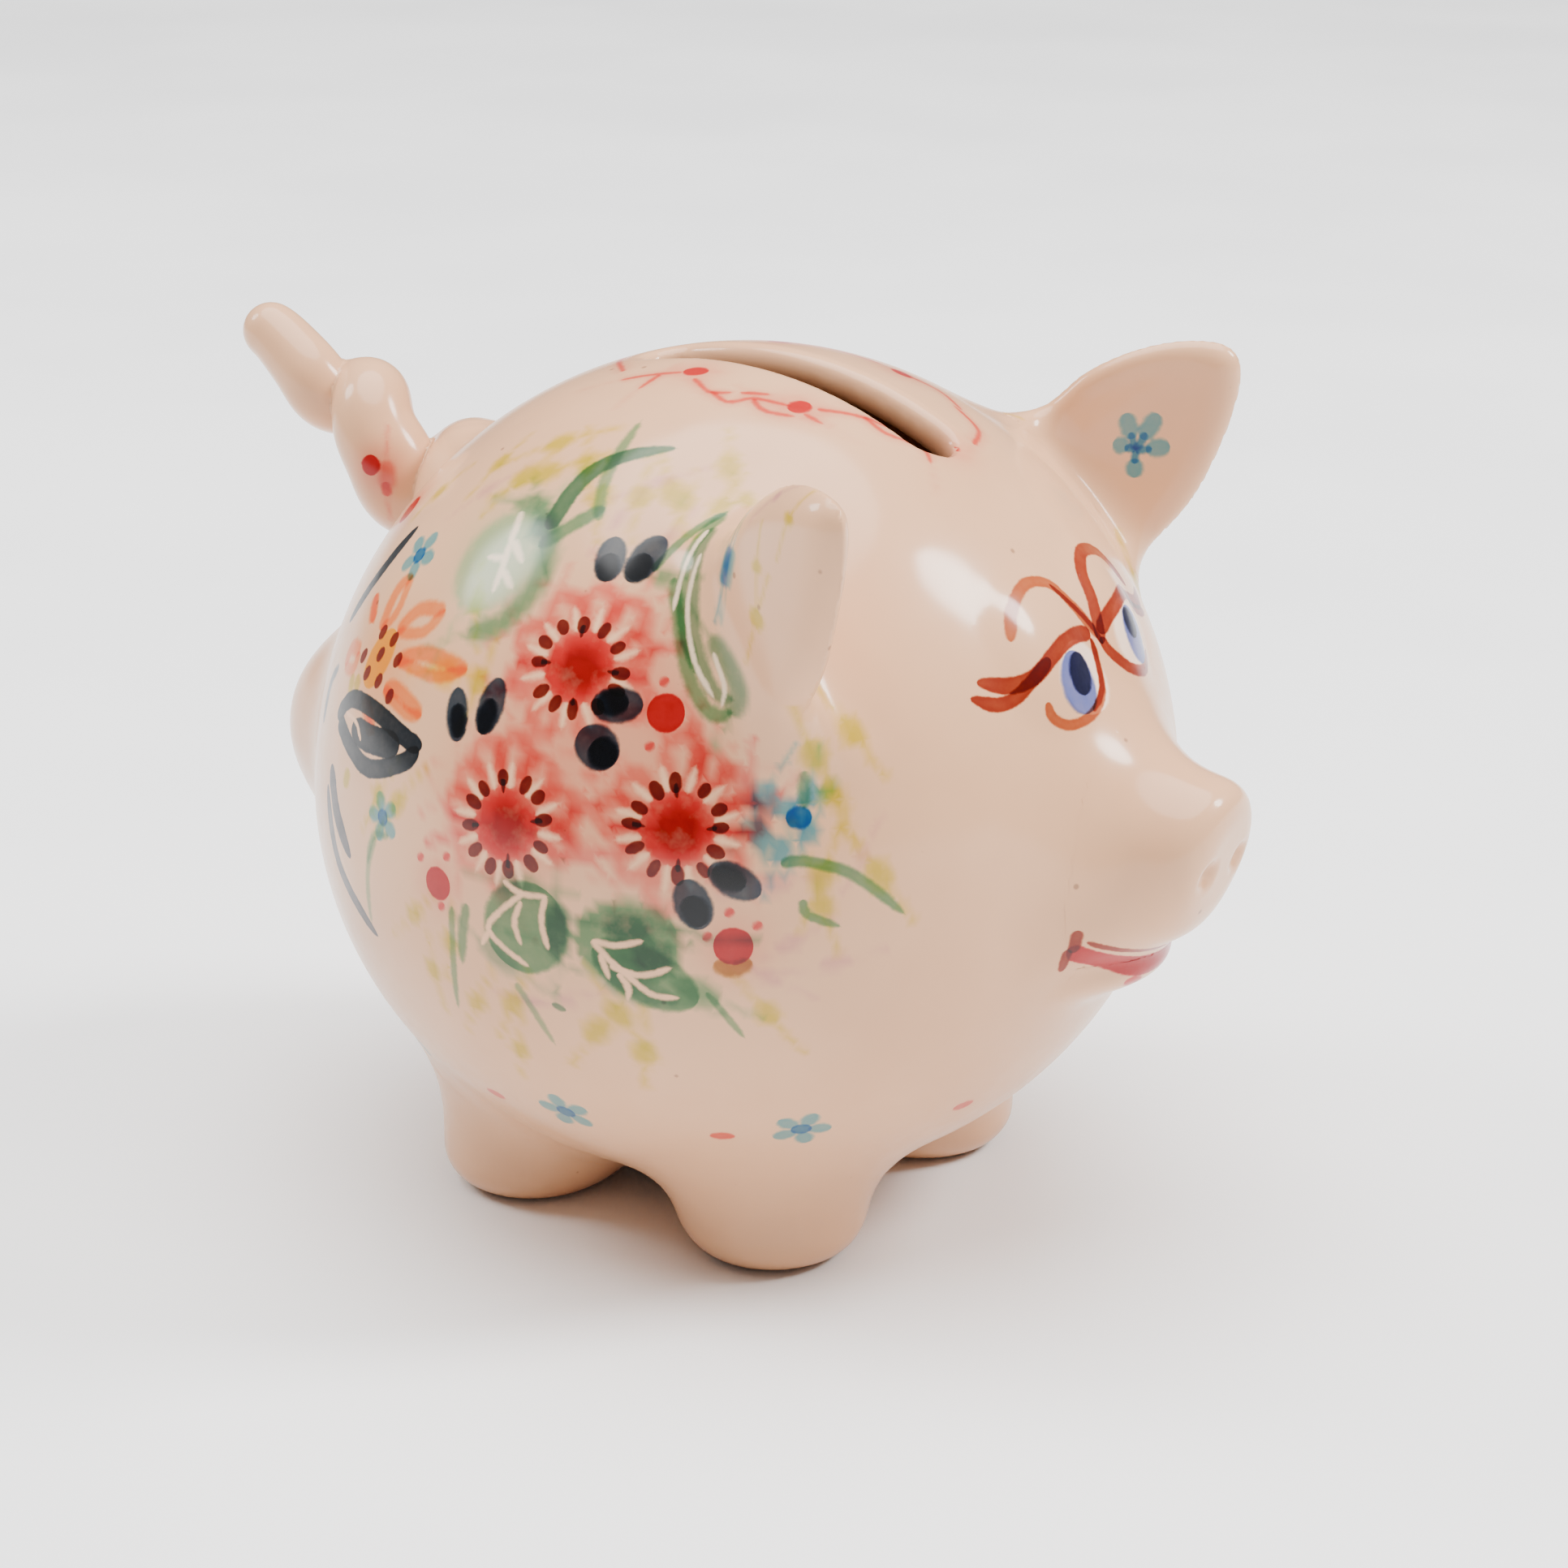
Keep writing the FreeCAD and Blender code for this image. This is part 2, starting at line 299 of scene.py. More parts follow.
def with_openings(p, field):
    """Cuts the coin slot, the stopper's hole and the flat seat that its flange rests on."""
    from_axis = np.hypot(p[..., 0] - HOLE_X, p[..., 1])
    field = overlap(field, -slot(p), 2.2)
    field = overlap(field, -np.maximum(from_axis - HOLE_R, p[..., 2]), 0.6)
    return cut_seat(p, field)


# ---------------------------------------------------------------- meshes from the fields

def surface_net(field, low, cell):
    """Closed quad mesh of the zero surface of a field sampled on a grid."""
    cells = np.array(field.shape) - 1
    total = int(np.prod(cells))
    sums = np.zeros((total, 4))
    quads = []
    for axis in range(3):
        a, b = (axis + 1) % 3, (axis + 2) % 3
        near = np.moveaxis(field, axis, 0)
        crossing = np.zeros(near.shape, bool)
        crossing[:-1] = (near[:-1] < 0) != (near[1:] < 0)
        at = np.argwhere(np.moveaxis(crossing, 0, axis))
        at = at[(at[:, a] > 0) & (at[:, b] > 0) & (at[:, a] < cells[a]) & (at[:, b] < cells[b])]
        after = at.copy()
        after[:, axis] += 1
        here, there = field[tuple(at.T)], field[tuple(after.T)]
        place = at.astype(float)
        place[:, axis] += here / (here - there)
        ring = []
        for da, db in ((-1, -1), (0, -1), (0, 0), (-1, 0)):
            cell_at = at.copy()
            cell_at[:, a] += da
            cell_at[:, b] += db
            flat = np.ravel_multi_index(tuple(cell_at.T), tuple(cells))
            ring.append(flat)
            for k in range(3):
                sums[:, k] += np.bincount(flat, place[:, k], total)
            sums[:, 3] += np.bincount(flat, minlength=total)
        quad = np.stack(ring, 1)
        quads.append(np.where((here < 0)[:, None], quad, quad[:, ::-1]))
    quads = np.concatenate(quads)
    used, quads = np.unique(quads, return_inverse=True)
    return low + cell * sums[used, :3] / sums[used, 3:], quads.reshape(-1, 4)


def gradient(field, p, step=0.04):
    slope = np.empty_like(p)
    for k in range(3):
        shift = np.zeros(3)
        shift[k] = step
        slope[:, k] = (field(p + shift) - field(p - shift)) / (2 * step)
    return slope


def settle(field, p, most, rounds=3):
    """Moves points onto the field's zero surface."""
    for _ in range(rounds):
        slope = gradient(field, p)
        move = -(field(p) / np.maximum((slope ** 2).sum(-1), 0.2))[:, None] * slope
        far = np.linalg.norm(move, axis=-1, keepdims=True)
        p = p + move * np.minimum(1, most / np.maximum(far, 1e-9))
    return p


def sample(field, low, high, cell):
    """Field values on a grid, worked out slab by slab."""
    counts = np.ceil((high - low) / cell).astype(int) + 1
    xs, ys, zs = (low[k] + cell * np.arange(counts[k]) for k in range(3))
    slabs = []
    for x in xs:
        y, z = np.meshgrid(ys, zs, indexing="ij")
        slabs.append(field(np.stack([np.full_like(y, x), y, z], -1)))
    return np.stack(slabs)


def clear_signs(field):
    """Flips the faintest corner of every chequered grid face, so that no mesh edge joins four faces."""
    for _ in range(12):
        found = False
        for a, b in ((0, 1), (1, 2), (0, 2)):
            corners = [[slice(None)] * 3 for _ in range(4)]
            for corner, (i, j) in zip(corners, ((0, 0), (1, 0), (1, 1), (0, 1))):
                corner[a] = slice(i, field.shape[a] - 1 + i)
                corner[b] = slice(j, field.shape[b] - 1 + j)
            values = np.stack([field[tuple(corner)] for corner in corners])
            inside = values < 0
            chequered = (inside[0] == inside[2]) & (inside[1] == inside[3]) & (inside[0] != inside[1])
            for face in np.argwhere(chequered):
                found = True
                faintest = int(np.argmin(np.abs(values[(slice(None), *face)])))
                at = face.copy()
                at[a] += (0, 1, 1, 0)[faintest]
                at[b] += (0, 0, 1, 1)[faintest]
                field[tuple(at)] = -1e-3 if field[tuple(at)] >= 0 else 1e-3
        if not found:
            break
    return field


OVERLAP = 0.4              # how far a limb's mesh runs on past its joint
RECESS = 0.03              # the ball's skin lies this much deeper under that overlap


def nearest_limb(p):
    return np.min([limb(p) for limb, _ in LIMBS.values()], axis=0)


def body_piece(p):
    """The ball's own clay: hollow, with its openings, stepping back under every limb."""
    past = nearest_limb(p) - body(p)
    outer = whole(p) + RECESS * np.clip(1.2 - past, 0, 1)
    outer = np.minimum(np.maximum(outer, -past - 0.8), ball(p) + 0.5)
    return with_openings(p, np.maximum(outer, -ball(p, WALL)))


def limb_piece(name):
    limb = LIMBS[name][0]

    def field(p):
        own = limb(p)
        outer = whole(p)
        if name == "snout":
            outer = outer + RECESS * np.clip(1.0 - (jaw(p) - own), 0, 1)
        out = np.maximum(outer, own - body(p) - OVERLAP)
        if name == "lower_jaw":
            out = np.maximum(out, own - snout(p) - OVERLAP)
        if name == "snout":
            out = np.maximum(out, own - jaw(p))
        if name.startswith("eye"):
            out = np.maximum(out, -p[..., 1] if name == "eye_left" else p[..., 1])
        if name.startswith("leg"):
            out = cut_seat(p, out)
        return np.maximum(out, -(ball(p) + 0.8))
    return field


PIECE_BOXES = {            # lowest corner, highest corner, cell
    "body_shell": (vec(-57, -49.5, -45.8), vec(50.5, 49.5, 50.2), 0.92),
    "snout": (vec(38, -19, -16), vec(64, 19, 20), 0.5),
    "lower_jaw": (vec(40, -13, -17), vec(55, 13, -3), 0.4),
    "eye_right": (vec(34, -16, 12), vec(46.5, 1, 34), 0.45),
    "eye_left": (vec(34, -1, 12), vec(46.5, 16, 34), 0.45),
    "ear_right": (vec(8, -48, 12), vec(45, -20, 50), 0.5),
    "ear_left": (vec(8, 20, 12), vec(45, 48, 50), 0.5),
    "tail": (vec(-72, -13, 14), vec(-26, 13, 50), 0.5),
}
for leg_name, (leg_x, leg_y) in LEG_PLACES.items():
    PIECE_BOXES[leg_name] = (vec(leg_x - 17, leg_y - 17, -47.9), vec(leg_x + 17, leg_y + 17, -22), 0.6)


def make_mesh(name, points, faces, normals):
    mesh = bpy.data.meshes.new(name)
    mesh.from_pydata((points * MM + CENTRE * MM).tolist(), [], faces.tolist())
    mesh.update()
    mesh.shade_smooth()
    mesh.normals_split_custom_set_from_vertices(normals.tolist())
    obj = bpy.data.objects.new(name, mesh)
    bpy.context.scene.collection.objects.link(obj)
    return obj


def build_piece(name):
    """One clay piece: closed mesh on the pig's skin, shaded as one with its neighbours."""
    field = body_piece if name == "body_shell" else limb_piece(name)
    low, high, cell = PIECE_BOXES[name]
    cell = cell * 1.0
    points, faces = surface_net(clear_signs(sample(field, low, high, cell)), low, cell)
    points = settle(field, points, 0.5 * cell)
    points[:, 2] = np.maximum(points[:, 2], FLOOR_Z)
    slope = gradient(field, points)
    on_skin = np.abs(whole(points)) < 0.8
    slope[on_skin] = gradient(whole, points[on_skin])
    if name == "body_shell":
        lip = slot(points) < 3.0
        slope[lip] = gradient(field, points[lip])
    normals = slope / np.maximum(np.linalg.norm(slope, axis=-1, keepdims=True), 1e-6)
    return points, faces, normals


# ---------------------------------------------------------------- brush strokes

# Bare clay, the white of the eyes and the pale veins are colours of their own. Every other one
# is a stain: the share of red, green and blue light that the paint lets through to the clay.
CREAM = (0.82, 0.46, 0.26)
RED_DEEP = (0.5, 0.008, 0.02)
RED = (0.62, 0.035, 0.055)
RED_SOFT = (0.8, 0.2, 0.22)
PINK = (0.88, 0.48, 0.48)
CORAL = (0.78, 0.14, 0.14)
STAMEN = (0.17, 0.03, 0.02)
NAVY = (0.008, 0.02, 0.05)
NAVY_THIN = (0.03, 0.07, 0.16)
GREEN = (0.05, 0.22, 0.14)
GREEN_MID = (0.12, 0.4, 0.24)
GREEN_PALE = (0.35, 0.8, 0.62)
YELLOW_GREEN = (0.62, 0.76, 0.06)
BLUE = (0.015, 0.22, 0.8)
BLUE_PALE = (0.13, 0.55, 1.0)
ORANGE = (0.95, 0.36, 0.14)
YELLOW = (0.92, 0.66, 0.02)
LILAC = (0.72, 0.52, 0.85)
BROWN = (0.3, 0.045, 0.02)
BROWN_LIGHT = (0.46, 0.14, 0.06)
IRIS = (0.1, 0.16, 0.6)
UMBER = (0.04, 0.05, 0.11)
OCHRE = (0.33, 0.17, 0.01)
VEIN = (0.78, 0.58, 0.38)
PUPIL = (0.02, 0.02, 0.06)
EYE_WHITE = (0.92, 0.66, 0.5)

STROKES = []
WASHES = []


def at(lon, lat):
    """Point of the ball: lon 0 faces the pig's right, 90 its snout; lat is height."""
    a, b = math.radians(lon), math.radians(lat)
    tall = BALL_UP if lat > 0 else BALL_DOWN
    return vec(BALL_R * math.sin(a) * math.cos(b), -BALL_R * math.cos(a) * math.cos(b), tall * math.sin(b))


def onto_ball(p):
    tall = BALL_UP if p[2] > 0 else BALL_DOWN
    return p / np.linalg.norm(p / vec(BALL_R, BALL_R, tall))


def around(centre, east, north):
    """Point of the ball this many millimetres east and north of another one."""
    out = unit(centre)
    e = unit(np.cross([0, 0, 1], out))
    return onto_ball(centre + east * e + north * np.cross(out, e))


def solid_point(p):
    return vec(*p) if len(p) == 3 else at(*p)


def stroke(points, width, colour, dense=1.0, soft=0.12, head=None, end=None, resist=False):
    """One pull of the brush: points along it, full width in mm, and how it starts and ends."""
    path = [p if isinstance(p, np.ndarray) else solid_point(p) for p in points]
    stain = vec(*colour) if resist else vec(*colour) ** dense
    STROKES.append(dict(path=np.array(path), half=width / 2, stain=stain, soft=-soft if resist else soft,
                        head=width / 2 if head is None else head, end=width / 2 if end is None else end))


def blob(centre, length, width, turn, colour, **how):
    """Oval touch of the brush, its long axis turn degrees up from east."""
    middle = centre if isinstance(centre, np.ndarray) else solid_point(centre)
    dx, dy = math.cos(math.radians(turn)) * length / 2, math.sin(math.radians(turn)) * length / 2
    stroke([around(middle, -dx, -dy), around(middle, dx, dy)], width, colour,
           head=length / 2, end=length / 2, **how)


def wash(centre, radius, colour, dense):
    """Soft stain that bled into the clay; on the rump swellings it is painted reflection."""
    WASHES.append((solid_point(centre), radius, vec(*colour) ** dense))


def dab(lon, lat, size, colour=YELLOW_GREEN, dense=0.8, turn=60, long=1.5):
    blob((lon, lat), size * long, size, turn, colour, dense=dense, soft=0.32 * size)


def berry(lon, lat, radius, specks=()):
    wash((lon, lat), radius * 1.9, RED_SOFT, 0.25)
    for east, north in specks:
        blob(around(at(lon, lat), east, north), 1.1, 0.8, 40, RED, dense=0.6, soft=0.3)
    blob((lon, lat), 2 * radius, 2 * radius, 0, RED_DEEP, soft=0.16)


def red_flower(lon, lat, turn, petals, rng):
    """Red heart, a ring of brown stamens on bare gaps, and soft red petals in a pink halo."""
    centre = at(lon, lat)

    def polar(radius, degrees):
        a = math.radians(degrees)
        return around(centre, radius * math.cos(a), radius * math.sin(a))

    wash((lon, lat), 6.6, PINK, 0.95)
    for angle, reach, strength in petals:
        a = angle + turn
        stroke([polar(4.6, a - 9), polar(reach * 0.8, a - 13), polar(reach, a)], 1.7, RED_SOFT,
               dense=strength, soft=0.55, head=1.4, end=1.5)
        stroke([polar(4.8, a + 10), polar(reach * 0.8, a + 13), polar(reach, a + 2)], 1.5, RED_SOFT,
               dense=strength * 0.85, soft=0.5, head=1.4, end=1.3)
    for k in range(12):
        a = turn + 30 * k + 15 + rng.uniform(-3, 3)
        stroke([polar(3.8, a), polar(6.4, a + rng.uniform(-4, 4))], 0.75, CREAM, soft=0.4,
               head=0.8, end=2.0, resist=True)
    blob(centre, 7.8, 7.4, 20, RED, dense=0.8, soft=1.0)
    blob(around(centre, 0.2, -0.2), 4.6, 4.2, 0, RED_DEEP, dense=0.9, soft=1.0)
    for k in range(12):
        a = turn + 30 * k + rng.uniform(-5, 5)
        r = rng.uniform(4.3, 4.9)
        blob(polar(r, a), rng.uniform(1.7, 2.2), rng.uniform(1.1, 1.4), a, STAMEN, soft=0.14)
        if k % 3 == 0:
            stroke([polar(r, a), polar(rng.uniform(2.8, 3.3), a + rng.uniform(-4, 4))], 0.5, STAMEN,
                   soft=0.12, head=0.1, end=1.2)


def small_blue(lon, lat, size, turn, count=5):
    centre = at(lon, lat)
    for k in range(count):
        a = math.radians(turn + 360 * k / count)
        blob(around(centre, size * math.cos(a), size * math.sin(a)), size * 1.25, size * 0.95,
             math.degrees(a), BLUE_PALE, dense=0.9, soft=0.35)
    blob(centre, size * 1.1, size, 0, BLUE, dense=0.95, soft=0.25)


def twin(lon, lat, length, width, turn, dark_east, dark_north):
    """One of a pair of inky petals, darker where the brush was pressed."""
    centre = at(lon, lat)
    blob(centre, length, width, turn, NAVY_THIN, dense=0.95, soft=0.28)
    blob(around(centre, dark_east, dark_north), length * 0.62, width * 0.72, turn, NAVY, soft=0.42)


def bouquet():
    """Flowers, leaves, berries and sprigs of the pig's right flank."""
    rng = np.random.default_rng(7)
    red_flower(9, 31, 4, [(80, 9.0, .8), (50, 9.4, .9), (20, 8.2, .8), (-25, 9.0, .7), (-70, 8.0, .6),
                          (-120, 8.2, .6), (-165, 8.4, .7), (155, 8.4, .8), (115, 8.6, .8)], rng)
    red_flower(2, 11, 12, [(78, 9.6, .8), (105, 9.4, .6), (48, 8.6, .7), (12, 8.8, .9), (-18, 8.6, .9),
                           (-100, 7.8, .4), (160, 8.2, .7), (130, 8.4, .6), (-150, 7.6, .4)], rng)
    red_flower(24.5, 13, 0, [(88, 9.8, .7), (40, 9.2, .9), (12, 9.2, .9), (-35, 8.2, .9), (-100, 9.0, .5),
                             (170, 8.8, .7), (140, 8.0, .6), (-140, 7.8, .6), (60, 8.8, .6)], rng)
    # orange flower with a yellow heart
    for lon, lat, tip_lon, tip_lat in ((-32, 28, -31, 36), (-27, 29, -18, 34), (-24, 26, -9, 28),
                                       (-25, 22, -15, 21), (-29, 20, -25, 16), (-36, 24, -40, 21),
                                       (-36, 28, -40, 31)):
        stroke([(lon, lat), ((lon + tip_lon) / 2 - 1.6, (lat + tip_lat) / 2 + 1.2), (tip_lon, tip_lat)],
               1.7, ORANGE, dense=0.85, soft=0.4, head=0.9, end=1.4)
        stroke([(lon, lat), ((lon + tip_lon) / 2 + 1.8, (lat + tip_lat) / 2 - 1.0), (tip_lon, tip_lat)],
               1.3, ORANGE, dense=0.75, soft=0.35, head=0.8, end=1.2)
    wash((-27, 25), 6.5, ORANGE, 0.32)
    blob((-29, 25), 7.2, 4.6, 72, YELLOW, soft=0.3)
    for lon, lat in ((-31, 28), (-27, 28), (-29, 25.5), (-34, 24), (-24, 26), (-31, 22.5), (-27, 22.5),
                     (-23, 21.5)):
        blob((lon, lat), 1.8, 1.3, 70, STAMEN, dense=0.95, soft=0.16)
    dab(-13, 27, 2.6, YELLOW, 0.7, 10)
    # inky twin petals
    twin(9.3, 45, 5.2, 3.3, 96, 0, -1.0)
    twin(16, 45.5, 5.6, 3.8, 62, -0.7, -1.2)
    twin(-8.5, 22.5, 5.6, 2.9, 108, 0.3, -0.6)
    twin(-3.2, 24.5, 6.0, 3.2, 84, -0.2, -1.1)
    twin(15.5, 27, 5.4, 3.6, 6, -0.5, 0.2)
    twin(13.5, 21.8, 5.0, 4.4, -35, 0.7, -0.5)
    twin(31.5, 7, 5.8, 3.4, -28, -0.6, 0.3)
    twin(26.5, 4, 5.4, 3.8, 112, 0.2, -0.7)
    # inky leaves at the rear
    for path, *brush in (          # then width, colour, density, softness, start and end
            ([(-37, 15), (-33, 18.5), (-25, 19), (-16, 17.5),
              (-13.5, 17.5)], 2.0, NAVY, 1.0, 0.12, 1.2, 1.6),
            ([(-36, 15), (-30, 13), (-24, 12), (-17, 14.5), (-14, 17)], 2.0, NAVY, 1.0, 0.12, 1.2, 2.0),
            ([(-31, 15.5), (-25, 15.5), (-18, 16.3)], 3.0, NAVY, 1.0, 0.12, 2.4, 2.0)):
        stroke(path, *brush)
    stroke([(-34, 16.5), (-30, 16.3), (-27.5, 14.6)], 0.45, CREAM, soft=0.12, head=1, end=1, resist=True)
    stroke([(-36, 9), (-33, 4), (-28, -1)], 2.3, UMBER, dense=0.95, head=2.5, end=4.0)
    stroke([(-37, 6), (-33, -3), (-26, -9), (-23, -11)], 1.8, UMBER, dense=0.95, head=4, end=5.0)
    stroke([(-36, 6), (-32, -1), (-28, -6)], 0.35, CREAM, soft=0.12, head=2, end=2, resist=True)
    for path, *brush in (          # then width, colour, density, softness, start and end
            ([(-47, 25), (-45, 30), (-43, 35), (-41, 41)], 1.9, NAVY, 0.92, 0.16, 3, 5),
            ([(-57, 20), (-59, 27), (-62, 35), (-66, 43), (-70, 50)], 1.6, NAVY_THIN, 1.0, 0.2, 5, 7),
            ([(-44, 12), (-45, 17), (-43, 20)], 1.4, NAVY_THIN, 0.8, 0.4, 2, 2)):
        stroke(path, *brush)
    # round green leaves with bare veins
    blob((5, -1.5), 10.4, 9.6, 60, GREEN_MID, dense=0.95, soft=0.45)
    blob((9.4, -1), 6.6, 2.8, 86, GREEN, dense=0.9, soft=0.6)
    blob((4.5, 4), 5.4, 2.6, 0, GREEN_MID, dense=0.5, soft=0.6)
    blob((1, -6.5), 5.2, 2.8, -30, GREEN, dense=0.35, soft=0.7)
    for vein in (((2, 4.2), (4.5, 3), (8.2, 3.2)), ((8, 3.2), (7.4, 0), (8.2, -4)),
                 ((4.8, 3), (1.4, 0), (-0.4, -2.6), (1.6, -4.8), (5.2, -7)),
                 ((4.6, 2), (3.6, -1), (4.4, -4)), ((-0.2, -3), (-1.6, -5.4))):
        stroke(vein, 0.62, CREAM, soft=0.2, head=0.5, end=1.4, resist=True)
    blob((18.5, -1.5), 11.6, 9.0, 4, GREEN_MID, dense=0.95, soft=0.5)
    blob((20.5, -6), 12.0, 6.4, -28, GREEN_MID, dense=0.9, soft=0.45)
    blob((18.5, 0.6), 5.4, 3.0, 0, GREEN, dense=0.75, soft=0.7)
    blob((21.5, -3), 4.6, 3.6, 20, GREEN, dense=0.5, soft=0.7)
    blob((20, -8.6), 8.0, 2.6, -14, GREEN, dense=0.5, soft=0.6)
    blob((27, -8), 5.0, 2.8, -26, GREEN_MID, dense=0.75, soft=0.6)
    for vein in (((14, -1.6), (16, -4), (19, -6.8), (21.4, -8.8), (24.6, -9)),
                 ((14, -1.6), (17, -2), (20.4, -1)),
                 ((16.2, -5), (20, -6), (23.8, -4.6)), ((15, -3.4), (16, -7)),
                 ((17.2, -6), (18.4, -8), (18.2, -10))):
        stroke(vein, 0.66, CREAM, soft=0.2, head=0.5, end=1.6, resist=True)
    blob((-12.5, 42), 12.4, 10.2, 78, GREEN_PALE, dense=0.75, soft=0.8)
    stroke([(-17, 50), (-10, 50), (-4, 46), (-2.5, 40), (-6, 34.5), (-12, 32)], 2.4, GREEN_MID, dense=0.8,
           soft=0.7, head=3, end=4)
    blob((-7.5, 47.5), 3.6, 2.6, -50, GREEN, dense=0.6, soft=0.7)
    for vein in (((-14, 49), (-12, 45), (-10.5, 41), (-10, 38)), ((-11.5, 45), (-7, 42.5)),
                 ((-11, 42.5), (-15, 42)), ((-10.5, 41), (-6.5, 39))):
        stroke(vein, 0.8, VEIN, soft=0.35, head=0.6, end=1.6, resist=True)
    # blades, stems and sprigs
    for path, *brush in (          # then width, colour, density, softness, start and end
            ([(-5.5, 47.5), (-5.5, 53), (-4, 57), (1, 60), (7, 61.6),
              (14, 62.6)], 2.1, GREEN, 0.9, 0.25, 1.6, 9),
            ([(-5.5, 45), (-1, 48.6), (4, 52)], 1.7, GREEN_MID, 0.85, 0.35, 1.5, 2.0),
            ([(4, 50), (1, 55), (-0.5, 60), (-2, 66.5)], 1.3, GREEN_MID, 0.65, 0.35, 1.5, 6),
            ([(17.5, 43.6), (22, 47.2), (30, 52)], 0.95, GREEN_MID, 0.8, 0.2, 0.6, 3),
            ([(18, 43), (22.5, 42.6)], 1.7, GREEN_MID, 0.7, 0.5, 0.8, 1.4),
            ([(37, 9), (40, 9.2), (45, 7.6), (49, 4.6), (52, 1.8)], 1.15, GREEN_MID, 0.85, 0.25, 0.8, 5),
            ([(39.6, 4.6), (40, 2.8), (44, 1)], 0.9, GREEN_MID, 0.75, 0.2, 0.6, 2.6),
            ([(40, 20), (40, 15.5)], 1.3, GREEN_MID, 0.7, 0.4, 1, 1.2),
            ([(-6, -1), (-6.6, -8), (-8, -17)], 0.8, GREEN_MID, 0.6, 0.25, 1, 5),
            ([(-3.6, 0), (-4.6, -5), (-5.2, -9)], 1.2, GREEN_MID, 0.7, 0.35, 1, 3),
            ([(3, -10), (5, -14), (7, -19)], 0.8, GREEN_MID, 0.5, 0.25, 0.6, 4),
            ([(28, -8), (30, -11), (32.5, -15)], 0.7, GREEN_MID, 0.6, 0.2, 0.8, 3),
            ([(-21, 4), (-23, -1), (-24, -9)], 0.8, GREEN_MID, 0.45, 0.3, 1, 4),
            ([(-18, 5), (-21.5, 4), (-23, 0)], 0.8, GREEN_MID, 0.5, 0.3, 1, 2)):
        stroke(path, *brush)
    blob((8.8, -12.6), 1.6, 0.8, -20, GREEN, dense=0.6, soft=0.2)
    # the leaf that laps round the root of the ear
    for path, *brush in (          # then width, colour, density, softness, start and end
            ([(30, 52), (26, 47), (24.4, 42), (24.6, 37), (27, 31)], 1.3, GREEN_MID, 0.7, 0.3, 1.5, 3),
            ([(22, 43), (23.4, 38), (25.4, 31), (28.6, 26.6),
              (32, 26.6)], 1.5, GREEN_MID, 0.75, 0.4, 1.4, 2),
            ([(29, 50), (27.4, 43), (27, 36), (29.6, 29.4), (33, 28)], 1.4, GREEN, 0.5, 0.45, 1.4, 2),
            ([(30, 36), (33, 33), (34.4, 29.4), (32, 26.4)], 2.2, GREEN, 0.55, 0.6, 1.6, 1.6)):
        stroke(path, *brush)
    for vein in (((27.6, 49), (24, 43), (22.6, 38.5)), ((28, 46), (25.4, 39.6), (26.4, 33), (29.4, 28.4)),
                 ((30, 34), (31.4, 30), (30.6, 27.6))):
        stroke(vein, 0.5, VEIN, soft=0.2, head=0.8, end=2.0, resist=True)
    # berries
    berry(22.3, 26.5, 1.95, ((-0.4, 3.1), (-1.4, -3.4)))
    berry(-8.3, 1.5, 1.75, ((1.2, 3.2), (-2.6, 2.2), (0.4, -2.4)))
    berry(31.3, -1.2, 2.0, ((-0.4, 3.6), (2.4, 2.2), (-2.6, 1.0)))
    berry(-54, 40.5, 1.8)
    stroke([(26, 26), (27, 22), (26.4, 19), (24.6, 16.6)], 1.7, RED_SOFT, dense=0.7, soft=0.5, head=1,
           end=2)
    stroke([(29, -3.6), (31, -4.6), (33.5, -3.4)], 1.6, OCHRE, dense=0.7, soft=0.4, head=1, end=1)
    # little blue flowers
    for lon, lat, length, turn in ((35, 17, 3.4, 60), (34.6, 12.4, 3.2, 100), (37, 10.6, 3.0, 70),
                                   (37.6, 15.6, 2.6, 20), (40.8, 17, 2.6, 80), (40.4, 12.6, 2.6, 60)):
        blob((lon, lat), length, 2.2, turn, BLUE_PALE, dense=0.95, soft=0.5)
    blob((39.3, 14.4), 2.6, 2.3, 0, BLUE, soft=0.25)
    small_blue(-19.5, 7, 1.7, 40)
    small_blue(-33, 38.5, 1.9, 10)
